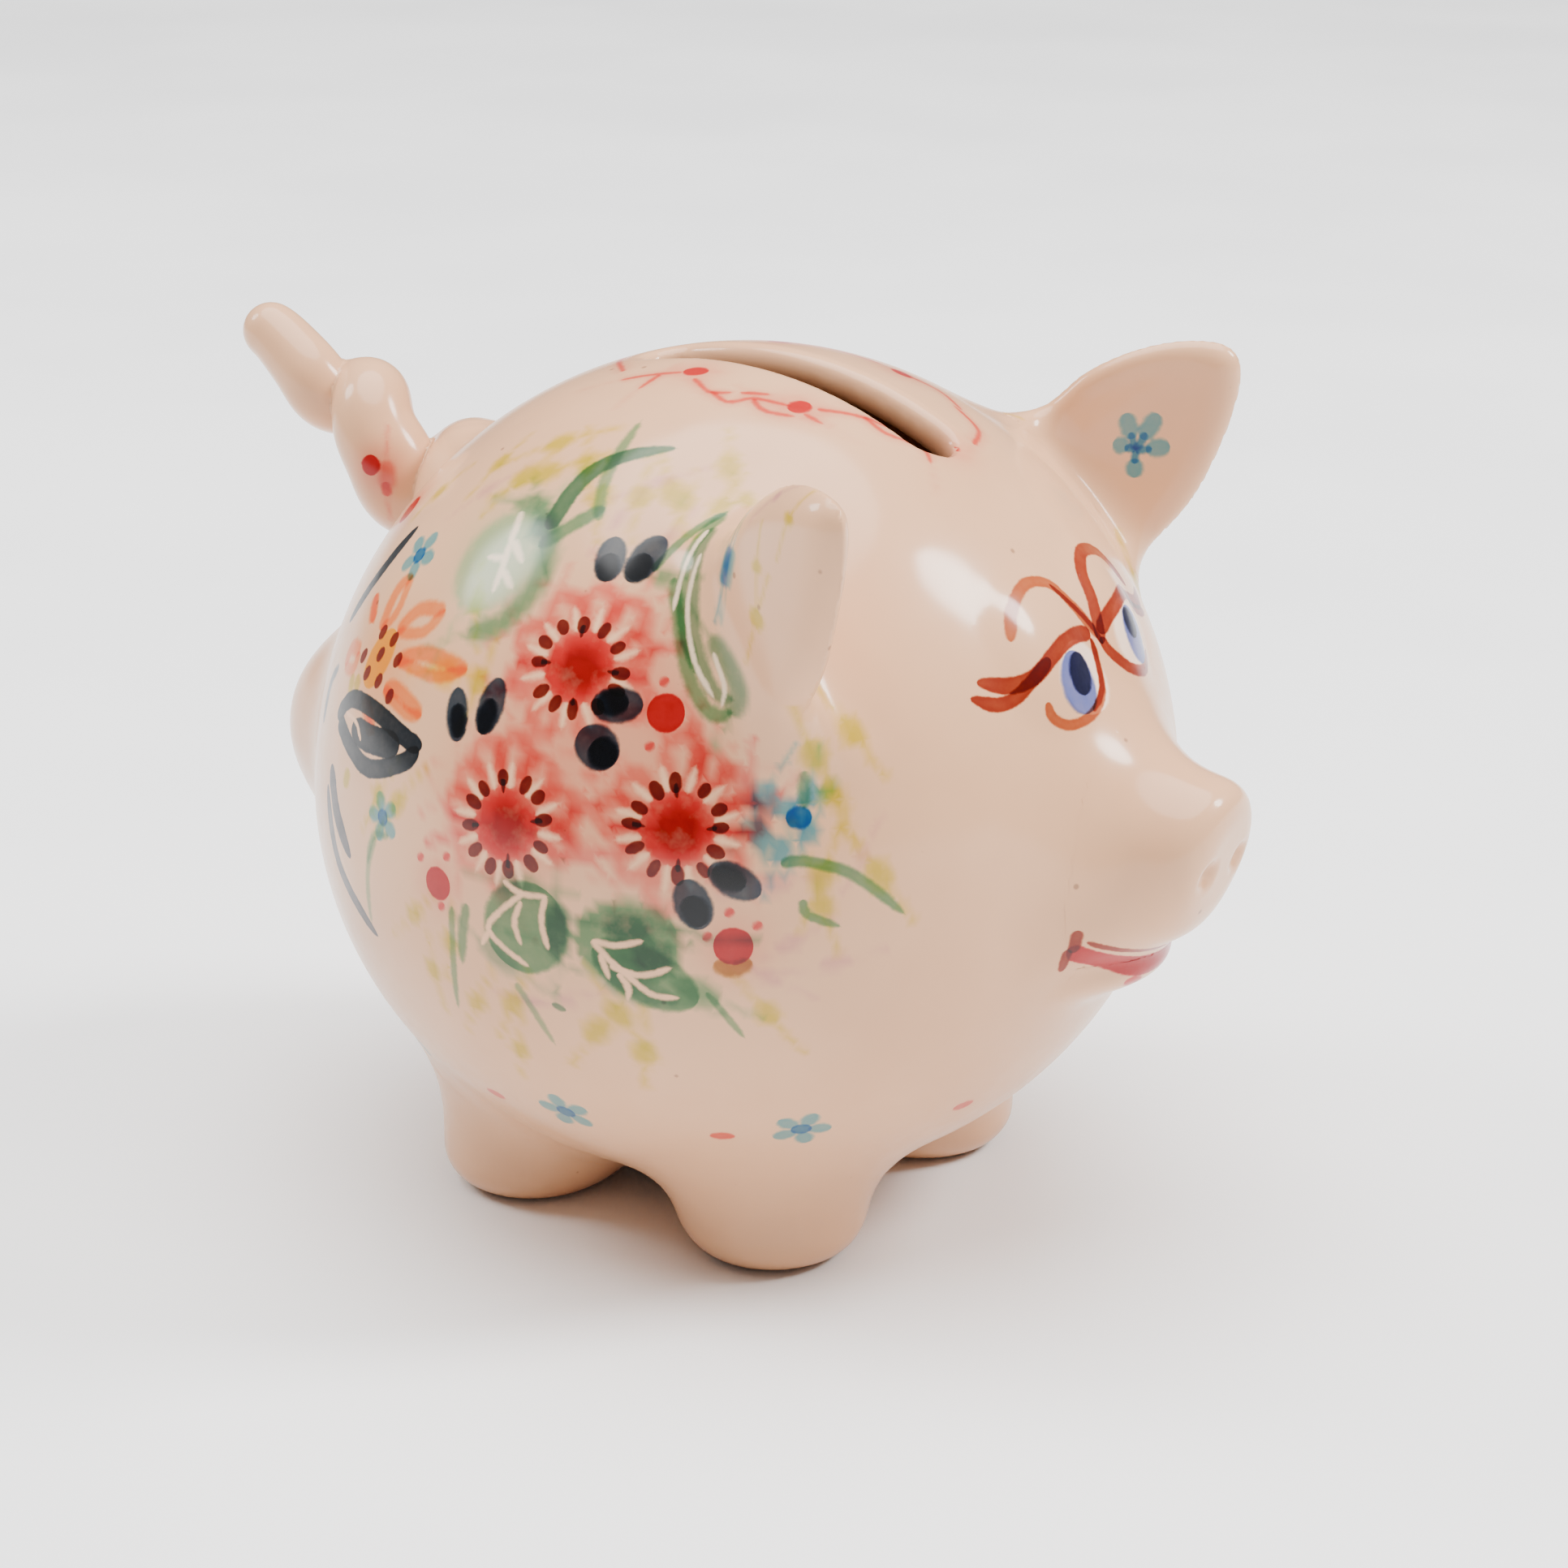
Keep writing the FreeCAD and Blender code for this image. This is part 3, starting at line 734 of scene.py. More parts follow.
    # dabs and faint touches
    for lon, lat, size in ((-21, 60, 2.3), (-16, 55, 2.6), (-21, 53.6, 2.4), (-7, 58, 2.0), (2, 53.4, 2.3),
                           (10.6, 54.2, 2.2), (17.6, 55, 2.5), (20.6, 53.6, 1.8), (28, 53, 1.9),
                           (29, 60, 2.2),
                           (-45, 46, 1.8), (-33, 54, 1.8), (-33, 20.5, 1.4), (-12, 36, 1.8),
                           (-6.4, 27, 2.0),
                           (-35, 20, 1.4), (-21, 9.4, 1.7), (-16.6, 9.6, 2.0), (-30, 9, 1.5),
                           (-13, -4, 1.6),
                           (-7, -6.6, 1.7), (-11, -12, 1.8), (-4, -15, 1.8), (2, -13.6, 2.2),
                           (13.6, -15.6, 2.4),
                           (17, -12.4, 2.4), (19.6, -18.4, 2.4), (1, -22, 1.8), (35.4, -11.2, 2.1),
                           (41, 22, 2.6), (46.4, 24, 2.4), (43.4, 17, 2.1), (42, 7.4, 2.2), (49, 6.8, 2.4),
                           (42, 3.6, 2.0), (33, 54, 1.6)):
        dab(lon, lat, size, turn=40 + 37 * (lon + lat) % 90)
    for lon, lat, size, turn in ((-28, 50, 3.0, 60), (8, 50.6, 2.6, 70), (14, 57, 3.0, 30),
                                 (19.6, 48.6, 2.6, 60),
                                 (36, 6.4, 4.2, 12), (35.6, -5.6, 3.0, -30), (43.6, -4, 3.4, 10),
                                 (38, -1, 3.4, 30), (5, -12.6, 2.6, 0), (10, -11, 2.4, 20),
                                 (47, 9.4, 2.2, 60)):
        blob((lon, lat), size, size * 0.45, turn, LILAC, dense=0.55, soft=0.6)
    wash((2, 18), 9, PINK, 0.35)
    wash((14, 20), 8, PINK, 0.4)
    wash((19, 33), 5, PINK, 0.35)
    wash((-14, 44), 7, GREEN_PALE, 0.25)


def hem():
    """Row of little blue flowers and red touches round the belly."""
    for k in range(18):
        lon = -98 + 20 * k
        if 72 < lon < 110:
            continue
        if k % 2:
            small_blue(lon + (9 if lon > 20 else 12) - 10, -34.5, 2.0, 20 * k)
        else:
            blob((lon + 7, -36), 2.6, 1.5, 0, CORAL, dense=0.95, soft=0.3)


def slot_sprigs():
    """Red touches and coral twigs round the coin slot."""
    for lon, lat in ((-6, 80), (54, 71), (92, 58.5), (133, 69), (-174, 80), (-120, 72)):
        blob((lon, lat), 2.8, 2.2, 20, RED, dense=0.95, soft=0.3)
        wash((lon, lat), 3.4, PINK, 0.5)
    for twig in (((0, 78), (15, 75), (26, 75)), ((16, 75), (26, 72.6), (36, 73.6), (50, 71.4)),
                 ((30, 75), (44, 74.4)), ((36, 73.4), (40, 70.6), (50, 69)), ((54, 69.4), (58, 67)),
                 ((60, 70), (72, 67.6), (80, 64)), ((74, 67), (76, 63), (84, 60)), ((84, 60), (80, 57)),
                 ((-14, 79), (-30, 76), (-38, 73)), ((-24, 77), (-20, 73)),
                 ((-50, 74), (-80, 72), (-100, 71)),
                 ((100, 57), (110, 58), (118, 62)), ((133, 69), (128, 64), (118, 61)),
                 ((-174, 80), (160, 76), (140, 71)),
                 ((-150, 74), (-165, 70)), ((-120, 72), (-140, 70), (-150, 66))):
        stroke(twig, 0.55, CORAL, dense=0.75, soft=0.28, head=0.4, end=1.6)
        stroke(twig, 1.6, PINK, dense=0.45, soft=0.8, head=0.6, end=1.6)


def eye_marks():
    """Brush-drawn eyes: lid, lashes, blue iris and dark pupil."""
    blob((84.6, 24.6), 8.0, 8.2, 90, EYE_WHITE, soft=0.5, resist=True)
    blob((83, 24.3), 6.8, 5.8, 90, IRIS, dense=0.95, soft=0.35)
    blob((83.9, 25.2), 4.6, 3.9, 80, PUPIL, soft=0.35)
    for path, *brush in (          # then width, colour, density, softness, start and end
            ([(73, 31.3), (75.4, 35), (81, 37.6), (87, 36.6), (90, 33), (91.4, 30),
              (92, 28)], 1.35, BROWN_LIGHT, 0.85, 0.16, 2.0, 3),
            ([(87, 36.6), (90, 33), (92, 29.6), (92.6, 27)], 0.7, BROWN, 0.8, 0.14, 2, 1),
            ([(91, 29), (87.5, 29.6), (83, 29.4), (79, 28.2), (75, 26.6), (71, 26.4),
              (66, 27.7)], 1.75, BROWN, 1.0, 0.14, 1.0, 3.4),
            ([(79, 28.2), (75, 26.4), (71.5, 24.8), (68, 24.6), (64.4, 26)], 1.5, BROWN, 1.0, 0.14, 1.5, 3),
            ([(76, 23.3), (76.6, 21.2), (79.4, 19.7), (84, 20.2), (88, 22.4), (90, 26),
              (90.6, 28.4)], 1.1, BROWN_LIGHT, 0.95, 0.14, 1, 2.5),
            ([(84, 20.2), (88, 22.4), (90, 26), (90.6, 28.4)], 0.8, BROWN, 0.7, 0.14, 2, 1)):
        stroke(path, *brush)
    blob((101, 26.2), 8.0, 8.0, 90, EYE_WHITE, soft=0.5, resist=True)
    blob((102, 25.8), 6.6, 5.4, 90, IRIS, dense=0.95, soft=0.35)
    blob((101.6, 27.4), 3.5, 3.0, 90, PUPIL, soft=0.35)
    for path, *brush in (          # then width, colour, density, softness, start and end
            ([(92.4, 27), (93.4, 30), (94.6, 32.4), (96.4, 36), (101, 38), (107.6, 36.6), (111, 33.4),
              (113, 30)], 1.6, BROWN, 0.9, 0.14, 1.5, 4),
            ([(92.6, 28.4), (95, 29.6), (99, 30.4), (105, 30.8), (110, 29), (115, 27),
              (120, 27.6)], 1.75, BROWN, 1.0, 0.14, 1.0, 3.4),
            ([(107, 30.4), (112, 26.8), (117, 25)], 1.4, BROWN, 1.0, 0.14, 1.2, 2.6),
            ([(92.6, 28), (93.6, 25.6), (97, 22.6), (102, 21.2),
              (106.6, 22.6)], 1.3, BROWN, 0.95, 0.14, 1, 2.4)):
        stroke(path, *brush)


def mouth_marks():
    """Brush-drawn mouth along the lower lip."""
    for side in (-1, 1):
        stroke([(48.9, 12.9 * side, -3.8), (48.2, 12.6 * side, -6.6)], 1.4, BROWN, soft=0.2, head=0.7,
               end=0.8)
        stroke([(47.8, 13.0 * side, -6.0), (46.9, 12.6 * side, -9.0)], 1.1, BROWN, soft=0.16, head=0.6,
               end=1.2)
    stroke([(47.6, -13.0, -6.2), (48.9, -10.6, -7.4), (50.6, -6.3, -9.3), (51.8, 0.0, -10.4),
            (50.6, 6.3, -9.3),
            (48.9, 10.6, -7.4), (47.6, 13.0, -6.2)], 2.0, RED_DEEP, soft=0.16, head=1.2, end=1.2)
    stroke([(49.4, -11.6, -5.6), (51.2, -7.0, -6.9), (52.4, 0.0, -7.6), (51.2, 7.0, -6.9),
            (49.4, 11.6, -5.6)],
           0.6, BROWN, dense=0.95, soft=0.14, head=1.2, end=1.2)
    blob(vec(52.3, -3.0, -8.6), 3.0, 1.6, 0, RED, dense=0.9, soft=0.3)


def limb_marks():
    """Touches of colour on the ears and the tail, and painted reflection on the rump."""
    heart = vec(29.4, 35.1, 33.9)
    for p in ((27.4, 34.2, 34.6), (28.4, 34.7, 37.6), (31.2, 36.2, 37.6), (32.4, 36.6, 34.4),
              (29.4, 35.0, 31.2)):
        tip = vec(*p)
        stroke([heart + 0.35 * (tip - heart), tip + 0.15 * (tip - heart)], 2.0, BLUE_PALE, dense=0.95,
               soft=0.35,
               head=1.2, end=1.1)
        stroke([heart, heart + 0.55 * (tip - heart)], 0.9, BLUE, dense=0.7, soft=0.25, head=0.4, end=0.6)
    for a, b, width, colour in (((20.6, -36.4, 38.8), (20.6, -35.7, 34.4), 1.6, BLUE),
                                ((21.4, -36.8, 38.8), (21.4, -36.0, 34.4), 2.0, BLUE_PALE),
                                ((31.1, -41.0, 43.4), (31.6, -41.0, 44.6), 1.8, YELLOW_GREEN),
                                ((26.4, -39.4, 37.4), (26.6, -39.0, 38.8), 1.8, YELLOW_GREEN),
                                ((26.0, -39.1, 31.9), (27.0, -39.1, 33.9), 2.4, YELLOW_GREEN),
                                ((27.4, -37.5, 44.6), (28.6, -37.5, 45.2), 1.4, LILAC)):
        stroke([a, b], width, colour, dense=0.8, soft=0.5)
    stroke([(-45.2, -8.6, 32.6), (-45.2, -8.6, 30.2)], 2.4, RED_DEEP, soft=0.2, head=1.5, end=1.5)
    stroke([(-43.4, -8.0, 32.0), (-43.4, -8.0, 28.6)], 1.8, RED_SOFT, dense=0.7, soft=0.5, head=1.0,
           end=1.2)
    stroke([(-43.6, -8.0, 29.6), (-43.4, -8.0, 27.8)], 1.1, CORAL, dense=0.9, soft=0.3, head=0.6, end=0.7)
    wash((-44.4, -8.4, 31.0), 3.2, PINK, 0.8)
    # Painted reflection: faint pink over both rump swellings, standing in for the pink flowers reflected in
    # their glaze.
    wash((-41.9, -9.6, 1.6), 10.0, PINK, 0.22)
    wash((-41.9, 9.6, 1.6), 10.0, PINK, 0.22)


def paint_pig():
    bouquet()
    flank_strokes, flank_washes = list(STROKES), list(WASHES)
    for s in flank_strokes:
        STROKES.append(dict(s, path=s["path"] * vec(1, -1, 1)))
    for centre, radius, stain in flank_washes:
        WASHES.append((centre * vec(1, -1, 1), radius, stain))
    hem()
    slot_sprigs()
    eye_marks()
    mouth_marks()
    limb_marks()


def open_curve(points, per=10):
    """Smooth curve through the points, ends included."""
    if len(points) == 2:
        return points[0] + np.linspace(0, 1, per + 1)[:, None] * (points[1] - points[0])
    pts = np.concatenate([[2 * points[0] - points[1]], points, [2 * points[-1] - points[-2]]])
    t = (np.arange(per) / per)[:, None]
    out = []
    for a, b, c, d in zip(pts, pts[1:], pts[2:], pts[3:]):
        out.append(smooth_span(a, b, c, d, t))
    return np.concatenate(out + [points[-1:]])


def along_curve(xy, curve):
    """Arc position and signed distance of points from a curve, run on straight past its ends."""
    step = np.diff(curve, axis=0)
    lengths = np.linalg.norm(step, axis=1)
    heads = step / lengths[:, None]
    starts = np.concatenate([[0], np.cumsum(lengths)])[:-1]
    d = xy[:, None, :] - curve[None, :-1, :]
    raw = (d * heads).sum(-1)
    low = np.zeros(len(step))
    low[0] = -1e3
    high = lengths.copy()
    high[-1] = 1e3
    s = np.clip(raw, low, high)
    off = d - s[..., None] * heads
    gap = np.linalg.norm(off, axis=-1)
    side = np.sign(heads[:, 0] * off[..., 1] - heads[:, 1] * off[..., 0])
    pick = gap.argmin(1)
    rows = np.arange(len(xy))
    return (starts + s)[rows, pick], (gap * side)[rows, pick], lengths.sum()


def stroke_frames():
    """Each stroke's middle, outward direction and flat axes, from the skin it lies on."""
    middles = np.array([s["path"].mean(0) for s in STROKES])
    slope = gradient(whole, middles)
    for s, middle, out in zip(STROKES, middles, slope):
        out = unit(out)
        east = np.cross([0, 0, 1], out) if abs(out[2]) < 0.99 else vec(0, 1, 0)
        east = unit(east)
        s["middle"], s["out"], s["axes"] = middle, out, np.array([east, np.cross(out, east)])


REACH = 0.8                # how far past a stroke's edge its values are kept, in mm
SOFTEST = 0.5              # strokes at least this soft are laid on the mesh's points, in mm
BARE = (0.0, 9.0, 1.0)     # the values of clay that no brush touched
# Points closer to the centre than this get painted shade: the hollow and the inside of the coin slot are
# darkened almost to black.
PAINTED_SHADE_INSIDE_R = BALL_DOWN - 0.3 * WALL


def lay_strokes(points, faces, normals):
    """Gives every stroke that crosses the mesh a layer; very soft ones only stain its points.

    Returns the points' stain, which also holds the painted reflection on the rump and the painted shade
    inside the shell, and the layers' values."""
    stain = washes_and_painted_light_at(points)
    reach = REACH * 1
    layers = []
    taken = []
    last_paint = np.zeros(len(faces), int)
    last_bare = np.zeros(len(faces), int)
    low, high = points.min(0) - 3, points.max(0) + 3
    for s in STROKES:
        path = s["path"]
        if (path.max(0) < low).any() or (path.min(0) > high).any():
            continue
        q = points - s["middle"]
        size = np.abs(path - s["middle"]).max() + s["half"] + 4
        near = np.nonzero((np.abs(q).max(1) < size + 4) & (np.abs(q @ s["out"]) < 6)
                          & (normals @ s["out"] > 0.1))[0]
        if len(near) < 4:
            continue
        xy = q[near] @ s["axes"].T
        curve = open_curve((path - s["middle"]) @ s["axes"].T)
        keep = ((xy > curve.min(0) - s["half"] - 3) & (xy < curve.max(0) + s["half"] + 3)).all(1)
        near, xy = near[keep], xy[keep]
        if len(near) < 4:
            continue
        arc, gap, length = along_curve(xy, curve)
        share = np.where(arc < s["head"], 0.5 * arc / s["head"], 0.5)
        share = np.where(arc > length - s["end"], 1 - 0.5 * (length - arc) / s["end"], share)
        soft = abs(s["soft"])
        if s["soft"] >= SOFTEST:
            inside = np.sqrt(np.maximum(4 * share * (1 - share), 0)) * s["half"] - np.abs(gap)
            rise = np.clip(0.5 + 0.5 * inside / soft, 0, 1)
            rise = rise * rise * (3 - 2 * rise)
            stain[near, :3] *= s["stain"] ** (0.95 * rise[:, None])
            continue
        touched = np.full(len(points), 0, np.int8)
        touched[near] = 1
        touched[near[(np.abs(gap) < s["half"] + soft + reach) & (arc > -soft - reach)
                     & (arc < length + soft + reach)]] = 2
        state = touched[faces]
        hit = np.nonzero((state.min(1) >= 1) & (state.max(1) == 2))[0]
        if not len(hit):
            continue
        values = np.zeros((len(points), 3))
        values[near] = np.stack([share, gap / s["half"], np.full(len(near), s["half"])], 1)
        under, mine = (last_bare, last_paint) if s["soft"] > 0 else (last_paint, last_bare)
        layer = under[hit].max()
        while layer < len(layers) and taken[layer][hit].any():
            layer += 1
        while len(layers) <= layer:
            flat = np.tile(np.array(BARE), (len(faces), 4, 1))
            layers.append((flat, np.tile([1.0, 1.0, 1.0, 0.1], (len(faces), 1))))
            taken.append(np.zeros(len(faces), bool))
        layers[layer][0][hit] = values[faces[hit]]
        deep = s["stain"] if s["soft"] < 0 else s["stain"] ** (1 / 3)
        layers[layer][1][hit] = [*deep, s["soft"]]
        taken[layer][hit] = True
        mine[hit] = np.maximum(mine[hit], layer + 1)
    return stain, layers


def washes_and_painted_light_at(points):
    stain = np.ones((len(points), 4))
    for centre, radius, colour in WASHES:
        fall = np.exp(-((points - centre) ** 2).sum(-1) / radius ** 2 * 1.4)
        stain[:, :3] *= colour ** fall[:, None]
    # Painted shade: the inside of the shell is darkened almost to black.
    stain[np.linalg.norm(points, axis=1) < PAINTED_SHADE_INSIDE_R, :3] *= 0.02
    return stain


# ---------------------------------------------------------------- materials

class Nodes:
    """Short hand for building a node tree."""

    def __init__(self, tree):
        self.tree = tree

    def add(self, kind, inputs=None, **settings):
        node = self.tree.nodes.new(kind)
        for key, value in settings.items():
            setattr(node, key, value)
        for key, value in (inputs or {}).items():
            if isinstance(value, bpy.types.NodeSocket):
                self.tree.links.new(value, node.inputs[key])
            else:
                node.inputs[key].default_value = value
        return node

    def math(self, operation, a, b=None, c=None, clamp=False):
        values = {i: v for i, v in enumerate((a, b, c)) if v is not None}
        return self.add("ShaderNodeMath", values, operation=operation, use_clamp=clamp).outputs[0]

    def ramp(self, value, low, high, out_low=0.0, out_high=1.0):
        """Smooth step of a value from low to high."""
        return self.add("ShaderNodeMapRange", {"Value": value, "From Min": low, "From Max": high,
                                               "To Min": out_low, "To Max": out_high},
                        interpolation_type="SMOOTHSTEP").outputs[0]

    def mix(self, factor, a, b, blend="MIX"):
        return self.add("ShaderNodeMix", {0: factor, 6: a, 7: b}, data_type="RGBA",
                        blend_type=blend).outputs[2]

    def noise(self, where, scale, detail=2.0, rough=0.5):
        return self.add("ShaderNodeTexNoise", {"Vector": where, "Scale": scale, "Detail": detail,
                                               "Roughness": rough}).outputs[0]


def brush_group():
    """Shader for one layer of strokes: where its paint lies and what it does to the clay."""
    tree = bpy.data.node_groups.new("brush_layer", "ShaderNodeTree")
    for name, kind in (("Under", "Color"), ("Place", "Vector"), ("Stain", "Color"), ("Soft", "Float"),
                       ("Grain", "Float"), ("Mottle", "Float")):
        tree.interface.new_socket(name, in_out="INPUT", socket_type="NodeSocket" + kind)
    tree.interface.new_socket("Over", in_out="OUTPUT", socket_type="NodeSocketColor")
    n = Nodes(tree)
    given = n.add("NodeGroupInput").outputs
    place = n.add("ShaderNodeSeparateXYZ", {0: given["Place"]}).outputs
    left = n.math("SUBTRACT", 1.0, place[0])
    bulge = n.math("MULTIPLY", n.math("MULTIPLY", place[0], left), 4.0)
    past_end = n.math("MULTIPLY", n.math("MINIMUM", bulge, 0.0), 1.5)
    width = n.math("ADD", n.math("SQRT", n.math("MAXIMUM", bulge, 0.0)), past_end)
    inside = n.math("MULTIPLY", n.math("SUBTRACT", width, n.math("ABSOLUTE", place[1])), place[2])
    soft = n.math("ABSOLUTE", given["Soft"])
    ragged = n.math("MULTIPLY_ADD", soft, 0.9, 0.16)
    inside = n.math("MULTIPLY_ADD", given["Grain"], ragged, inside)
    covered = n.ramp(inside, n.math("MULTIPLY", soft, -1.0), soft)
    pooled = n.ramp(inside, 0.0, 0.7, 1.0, 0.93)
    density = n.math("MULTIPLY", covered, n.math("MULTIPLY_ADD", given["Mottle"], 0.4, pooled), clamp=True)
    bare = n.math("LESS_THAN", given["Soft"], 0.0)
    film = n.mix(density, (1, 1, 1, 1), given["Stain"])
    stained = given["Under"]
    for _ in range(3):
        stained = n.mix(1.0, stained, film, "MULTIPLY")
    scraped = n.mix(density, given["Under"], given["Stain"])
    tree.links.new(n.mix(bare, stained, scraped), n.add("NodeGroupOutput").inputs["Over"])
    return tree


BRUSH = brush_group()


def glaze(name, layer_count):
    """Glossy clear glaze over speckled cream clay, with the brush layers under it."""
    material = bpy.data.materials.new(name)
    material.use_nodes = True
    n = Nodes(material.node_tree)
    shader = material.node_tree.nodes["Principled BSDF"]
    where = n.add("ShaderNodeTexCoord").outputs["Object"]
    cloud = n.noise(where, 42.0, 3.0)
    grain = n.math("SUBTRACT", n.noise(where, 1300.0, 3.0, 0.62), 0.5)
    mottle = n.math("SUBTRACT", n.noise(where, 420.0, 3.0, 0.6), 0.5)
    speck = n.add("ShaderNodeTexVoronoi", {"Vector": where, "Scale": 230.0, "Randomness": 1.0})
    size = n.add("ShaderNodeSeparateColor", {0: speck.outputs["Color"]}).outputs[0]
    limit = n.ramp(size, 0.55, 1.0, 0.0, 0.075)
    spot = n.ramp(n.math("SUBTRACT", speck.outputs["Distance"], limit), -0.03, 0.025, 0.62, 0.0)
    spot = n.math("MULTIPLY", spot, n.math("GREATER_THAN", size, 0.55))
    warm = n.mix(n.ramp(cloud, 0.35, 0.68), (0.74, 0.41, 0.23, 1), (0.70, 0.375, 0.205, 1))
    colour = n.mix(spot, warm, (0.20, 0.08, 0.04, 1))
    # The wash attribute carries the washes, the painted reflection on the rump and the painted shade inside
    # the shell.
    washes_and_painted_light = n.add("ShaderNodeAttribute", attribute_name="wash").outputs["Color"]
    washes_and_painted_light = n.mix(n.math("MULTIPLY_ADD", mottle, 0.5, 1.0, clamp=True), (1, 1, 1, 1), washes_and_painted_light)
    colour = n.mix(1.0, colour, washes_and_painted_light, "MULTIPLY")
    for k in range(layer_count):
        place = n.add("ShaderNodeAttribute", attribute_name=f"place_{k}").outputs["Vector"]
        stain = n.add("ShaderNodeAttribute", attribute_name=f"stain_{k}").outputs
        group = n.add("ShaderNodeGroup", node_tree=BRUSH)
        for key, value in (("Under", colour), ("Place", place), ("Stain", stain["Color"]),
                           ("Soft", stain["Alpha"]), ("Grain", grain), ("Mottle", mottle)):
            material.node_tree.links.new(value, group.inputs[key])
        colour = group.outputs[0]
    height = n.add("ShaderNodeSeparateXYZ", {0: where}).outputs[2]
    bare_foot = n.ramp(height, 0.0005, 0.0011, 1.0, 0.0)
    colour = n.mix(bare_foot, colour, (0.62, 0.36, 0.22, 1))
    wobble = n.add("ShaderNodeBump", {"Strength": 0.16, "Distance": 0.0012, "Height": n.noise(where,
                                                                                              70.0, 2.0)})
    pores = n.add("ShaderNodeBump", {"Strength": 0.05, "Distance": 0.0002, "Height": n.noise(where,
                                                                                             900.0, 3.0),
                                     "Normal": wobble.outputs[0]})
    links = material.node_tree.links
    links.new(colour, shader.inputs["Base Color"])
    links.new(n.ramp(mottle, -0.3, 0.3, 0.30, 0.42), shader.inputs["Roughness"])
    links.new(n.math("MULTIPLY_ADD", bare_foot, -0.62, 0.62), shader.inputs["Coat Weight"])
    links.new(n.ramp(cloud, 0.3, 0.7, 0.12, 0.16), shader.inputs["Coat Roughness"])
    links.new(pores.outputs[0], shader.inputs["Normal"])
    links.new(wobble.outputs[0], shader.inputs["Coat Normal"])
    shader.inputs["Coat IOR"].default_value = 1.46
    shader.inputs["Specular IOR Level"].default_value = 0.08
    return material


def rubber():
    material = bpy.data.materials.new("plug_rubber")
    material.use_nodes = True
    n = Nodes(material.node_tree)
    shader = material.node_tree.nodes["Principled BSDF"]
    where = n.add("ShaderNodeTexCoord").outputs["Object"]
    dust = n.noise(where, 520.0, 4.0, 0.65)
    links = material.node_tree.links
    links.new(n.mix(n.ramp(dust, 0.45, 0.75), (0.012, 0.012, 0.013, 1), (0.035, 0.034, 0.033, 1)),
              shader.inputs["Base Color"])
    links.new(n.ramp(dust, 0.3, 0.7, 0.5, 0.72), shader.inputs["Roughness"])
    bump = n.add("ShaderNodeBump", {"Strength": 0.2, "Distance": 0.0002, "Height": n.noise(where,
                                                                                           1500.0, 3.0)})
    links.new(bump.outputs[0], shader.inputs["Normal"])
    return material


def table_top():
    material = bpy.data.materials.new("studio_floor")
    material.use_nodes = True
    n = Nodes(material.node_tree)
    shader = material.node_tree.nodes["Principled BSDF"]
    where = n.add("ShaderNodeTexCoord").outputs["Object"]
    cloud = n.noise(where, 9.0, 3.0)
    links = material.node_tree.links
    links.new(n.mix(n.ramp(cloud, 0.3, 0.7), (0.90, 0.90, 0.905, 1), (0.93, 0.93, 0.93, 1)),
              shader.inputs["Base Color"])
    links.new(n.ramp(cloud, 0.3, 0.7, 0.5, 0.62), shader.inputs["Roughness"])
    shader.inputs["Specular IOR Level"].default_value = 0.3
    return material


# ---------------------------------------------------------------- the pieces

def turned(profile, steps):
    """Closed mesh made by turning a profile of (radius, height) points about the vertical."""
    rings = profile[1:-1]
    angles = 2 * math.pi * np.arange(steps) / steps
    points = [[0.0, 0.0, profile[0][1]]]
    for radius, height in rings:
        points += [[radius * math.cos(a), radius * math.sin(a), height] for a in angles]
    points.append([0.0, 0.0, profile[-1][1]])
    faces = []
    for k in range(steps):
        after = (k + 1) % steps
        faces.append([0, 1 + after, 1 + k])
        for r in range(len(rings) - 1):
            a, b = 1 + r * steps, 1 + (r + 1) * steps
            faces.append([a + k, a + after, b + after, b + k])
        last = 1 + (len(rings) - 1) * steps
        faces.append([last + k, last + after, len(points) - 1])
    return np.array(points), faces


def rounded(corners, radius=0.25, steps=4):
    """Profile with its inner corners rounded."""
    out = [corners[0]]
    for a, b, c in zip(corners, corners[1:], corners[2:]):
        a, b, c = vec(*a), vec(*b), vec(*c)
        r = min(radius, 0.45 * np.linalg.norm(a - b), 0.45 * np.linalg.norm(c - b))
        start, stop = b + unit(a - b) * r, b + unit(c - b) * r
        for t in np.linspace(0, 1, steps):
            out.append(tuple((1 - t) ** 2 * start + 2 * t * (1 - t) * b + t * t * stop))
    return out + [corners[-1]]


def stopper_mesh():
    """Rubber stopper: dished flange with a ridge round it, and a ribbed plug."""
    base = SEAT_Z - 1.8
    corners = [(0, base + 0.75), (3.2, base + 0.75), (4.0, base + 0.15), (5.4, base + 0.15),
               (6.2, base + 0.65),
               (9.4, base + 0.45), (10.2, base), (11.8, base), (12.3, base + 0.6), (12.3, SEAT_Z),
               (11.15, SEAT_Z), (11.15, SEAT_Z + 3.6), (10.6, SEAT_Z + 4.1), (10.6, SEAT_Z + 4.9),
               (11.0, SEAT_Z + 5.4), (10.5, SEAT_Z + 6.4), (10.4, SEAT_Z + 8.6), (9.4, SEAT_Z + 9.5),
               (0, SEAT_Z + 9.5)]
    points, faces = turned(rounded(corners), 96)
    mesh = bpy.data.meshes.new("look_stopper")
    place = (points + vec(HOLE_X, 0, 0) + CENTRE) * MM
    mesh.from_pydata(place.tolist(), [], faces)
    mesh.shade_smooth()
    obj = bpy.data.objects.new("look_stopper", mesh)
    bpy.context.scene.collection.objects.link(obj)
    return obj


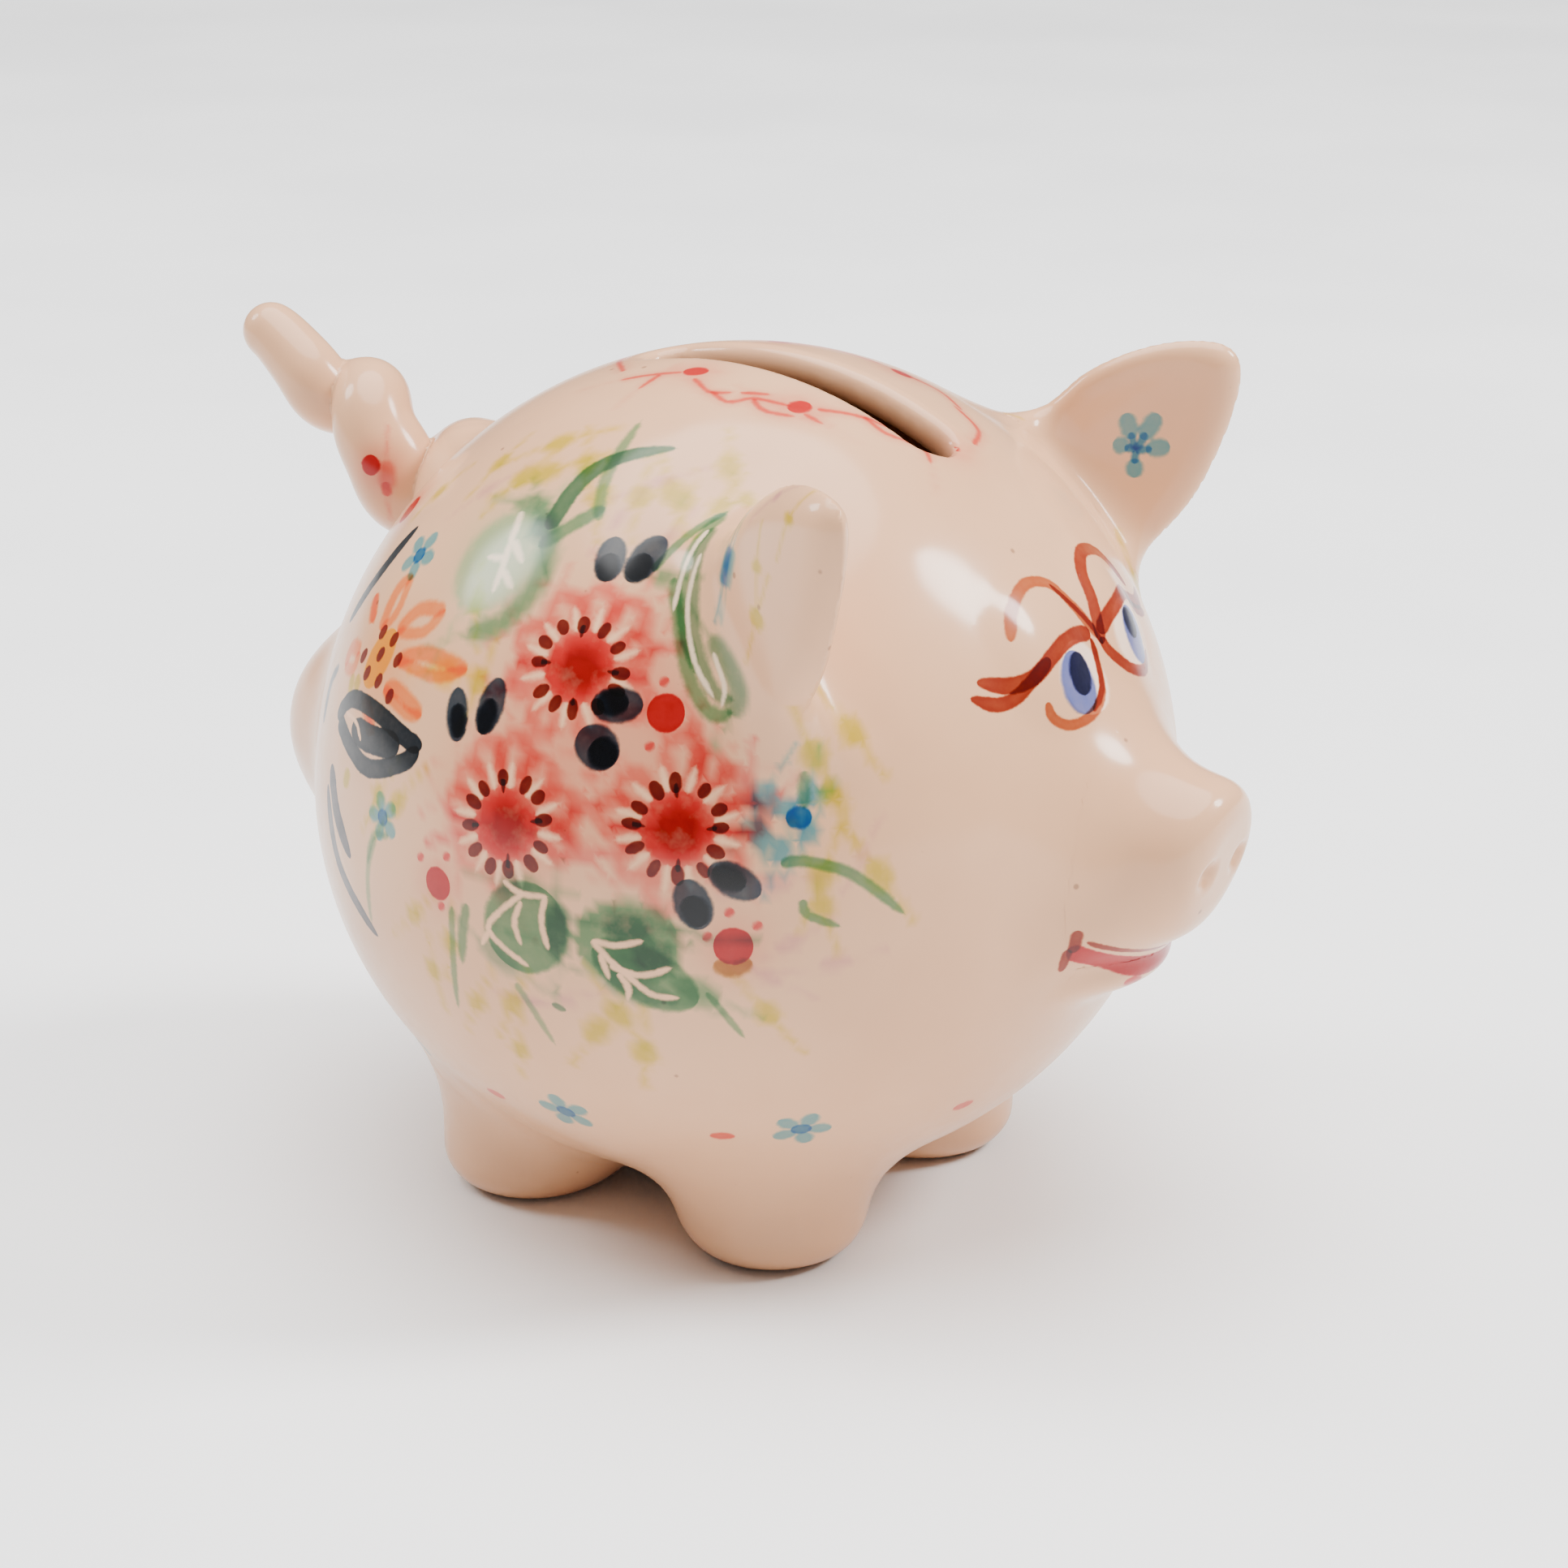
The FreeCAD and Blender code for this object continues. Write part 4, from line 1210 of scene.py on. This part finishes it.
def clay_piece(node):
    points, faces, normals = build_piece(node)
    obj = make_mesh("look_" + node, points, faces, normals)
    mesh = obj.data
    stain, layers = lay_strokes(points, faces, normals)
    # The wash attribute also carries the painted reflection on the rump and the painted shade inside the
    # shell.
    mesh.attributes.new("wash", "FLOAT_COLOR", "POINT").data.foreach_set(
        "color", stain.astype(np.float32).ravel())
    for k, (place, stain) in enumerate(layers):
        mesh.attributes.new(f"place_{k}", "FLOAT_VECTOR", "CORNER").data.foreach_set(
            "vector", place.astype(np.float32).ravel())
        mesh.attributes.new(f"stain_{k}", "FLOAT_COLOR", "FACE").data.foreach_set(
            "color", stain.astype(np.float32).ravel())
    count = len(layers)
    name = f"glaze_{count}_layers"
    mesh.materials.append(bpy.data.materials.get(name) or glaze(name, count))
    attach(obj, "pig")
    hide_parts(node)
    return obj


paint_pig()
stroke_frames()
for clay_node in PIECE_BOXES:
    clay_piece(clay_node)

plug = stopper_mesh()
plug.data.materials.append(rubber())
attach(plug, "stopper")
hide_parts("stopper")


# ---------------------------------------------------------------- studio

floor_mesh = bpy.data.meshes.new("studio_floor")
floor_mesh.from_pydata([(-4, -4, 0), (4, -4, 0), (4, 4, 0), (-4, 4, 0)], [], [(0, 1, 2, 3)])
floor = bpy.data.objects.new("studio_floor", floor_mesh)
bpy.context.scene.collection.objects.link(floor)
floor.data.materials.append(table_top())

TARGET = Vector((CENTRE[0] * MM + 0.0049, 0.0, 0.047))
CAMERA_LENS = 82.55
CAMERA_AZIMUTH = 32.38
CAMERA_ELEVATION = 19.69
CAMERA_DISTANCE = 0.400
WORLD_STRENGTH = 0.18


def direction(azimuth, elevation):
    """Unit vector towards a viewer at this azimuth (0 looks along +Y) and elevation."""
    a, e = math.radians(azimuth), math.radians(elevation)
    return Vector((math.sin(a) * math.cos(e), -math.cos(a) * math.cos(e), math.sin(e)))


def lamp(name, towards, distance, size_x, size_y, watts):
    """Oval area light, looking at the pig from this direction."""
    data = bpy.data.lights.new(name, "AREA")
    data.shape = "ELLIPSE"
    data.size, data.size_y = size_x, size_y
    data.energy = watts
    obj = bpy.data.objects.new(name, data)
    obj.location = TARGET + towards.normalized() * distance
    obj.rotation_euler = towards.to_track_quat("Z", "Y").to_euler()
    bpy.context.scene.collection.objects.link(obj)


lamp("key", Vector((0.63, 0.38, 0.68)), 1.1, 0.28, 0.40, 15.0)
lamp("left_window", Vector((-0.74, -0.24, 0.62)), 1.1, 0.34, 0.40, 6.0)
lamp("overhead", Vector((-0.05, 0.0, 1.0)), 2.6, 3.0, 3.0, 185.0)

world = bpy.data.worlds.new("studio")
world.use_nodes = True
world.node_tree.nodes["Background"].inputs[0].default_value = (1.0, 0.99, 0.98, 1)
world.node_tree.nodes["Background"].inputs[1].default_value = WORLD_STRENGTH
bpy.context.scene.world = world

camera_data = bpy.data.cameras.new("camera")
camera_data.lens = CAMERA_LENS
camera_data.sensor_width = 36.0
camera_data.clip_start = 0.01
camera = bpy.data.objects.new("camera", camera_data)
view = direction(CAMERA_AZIMUTH, CAMERA_ELEVATION)
camera.location = TARGET + view * CAMERA_DISTANCE
camera.rotation_euler = view.to_track_quat("Z", "Y").to_euler()
bpy.context.scene.collection.objects.link(camera)
bpy.context.scene.camera = camera
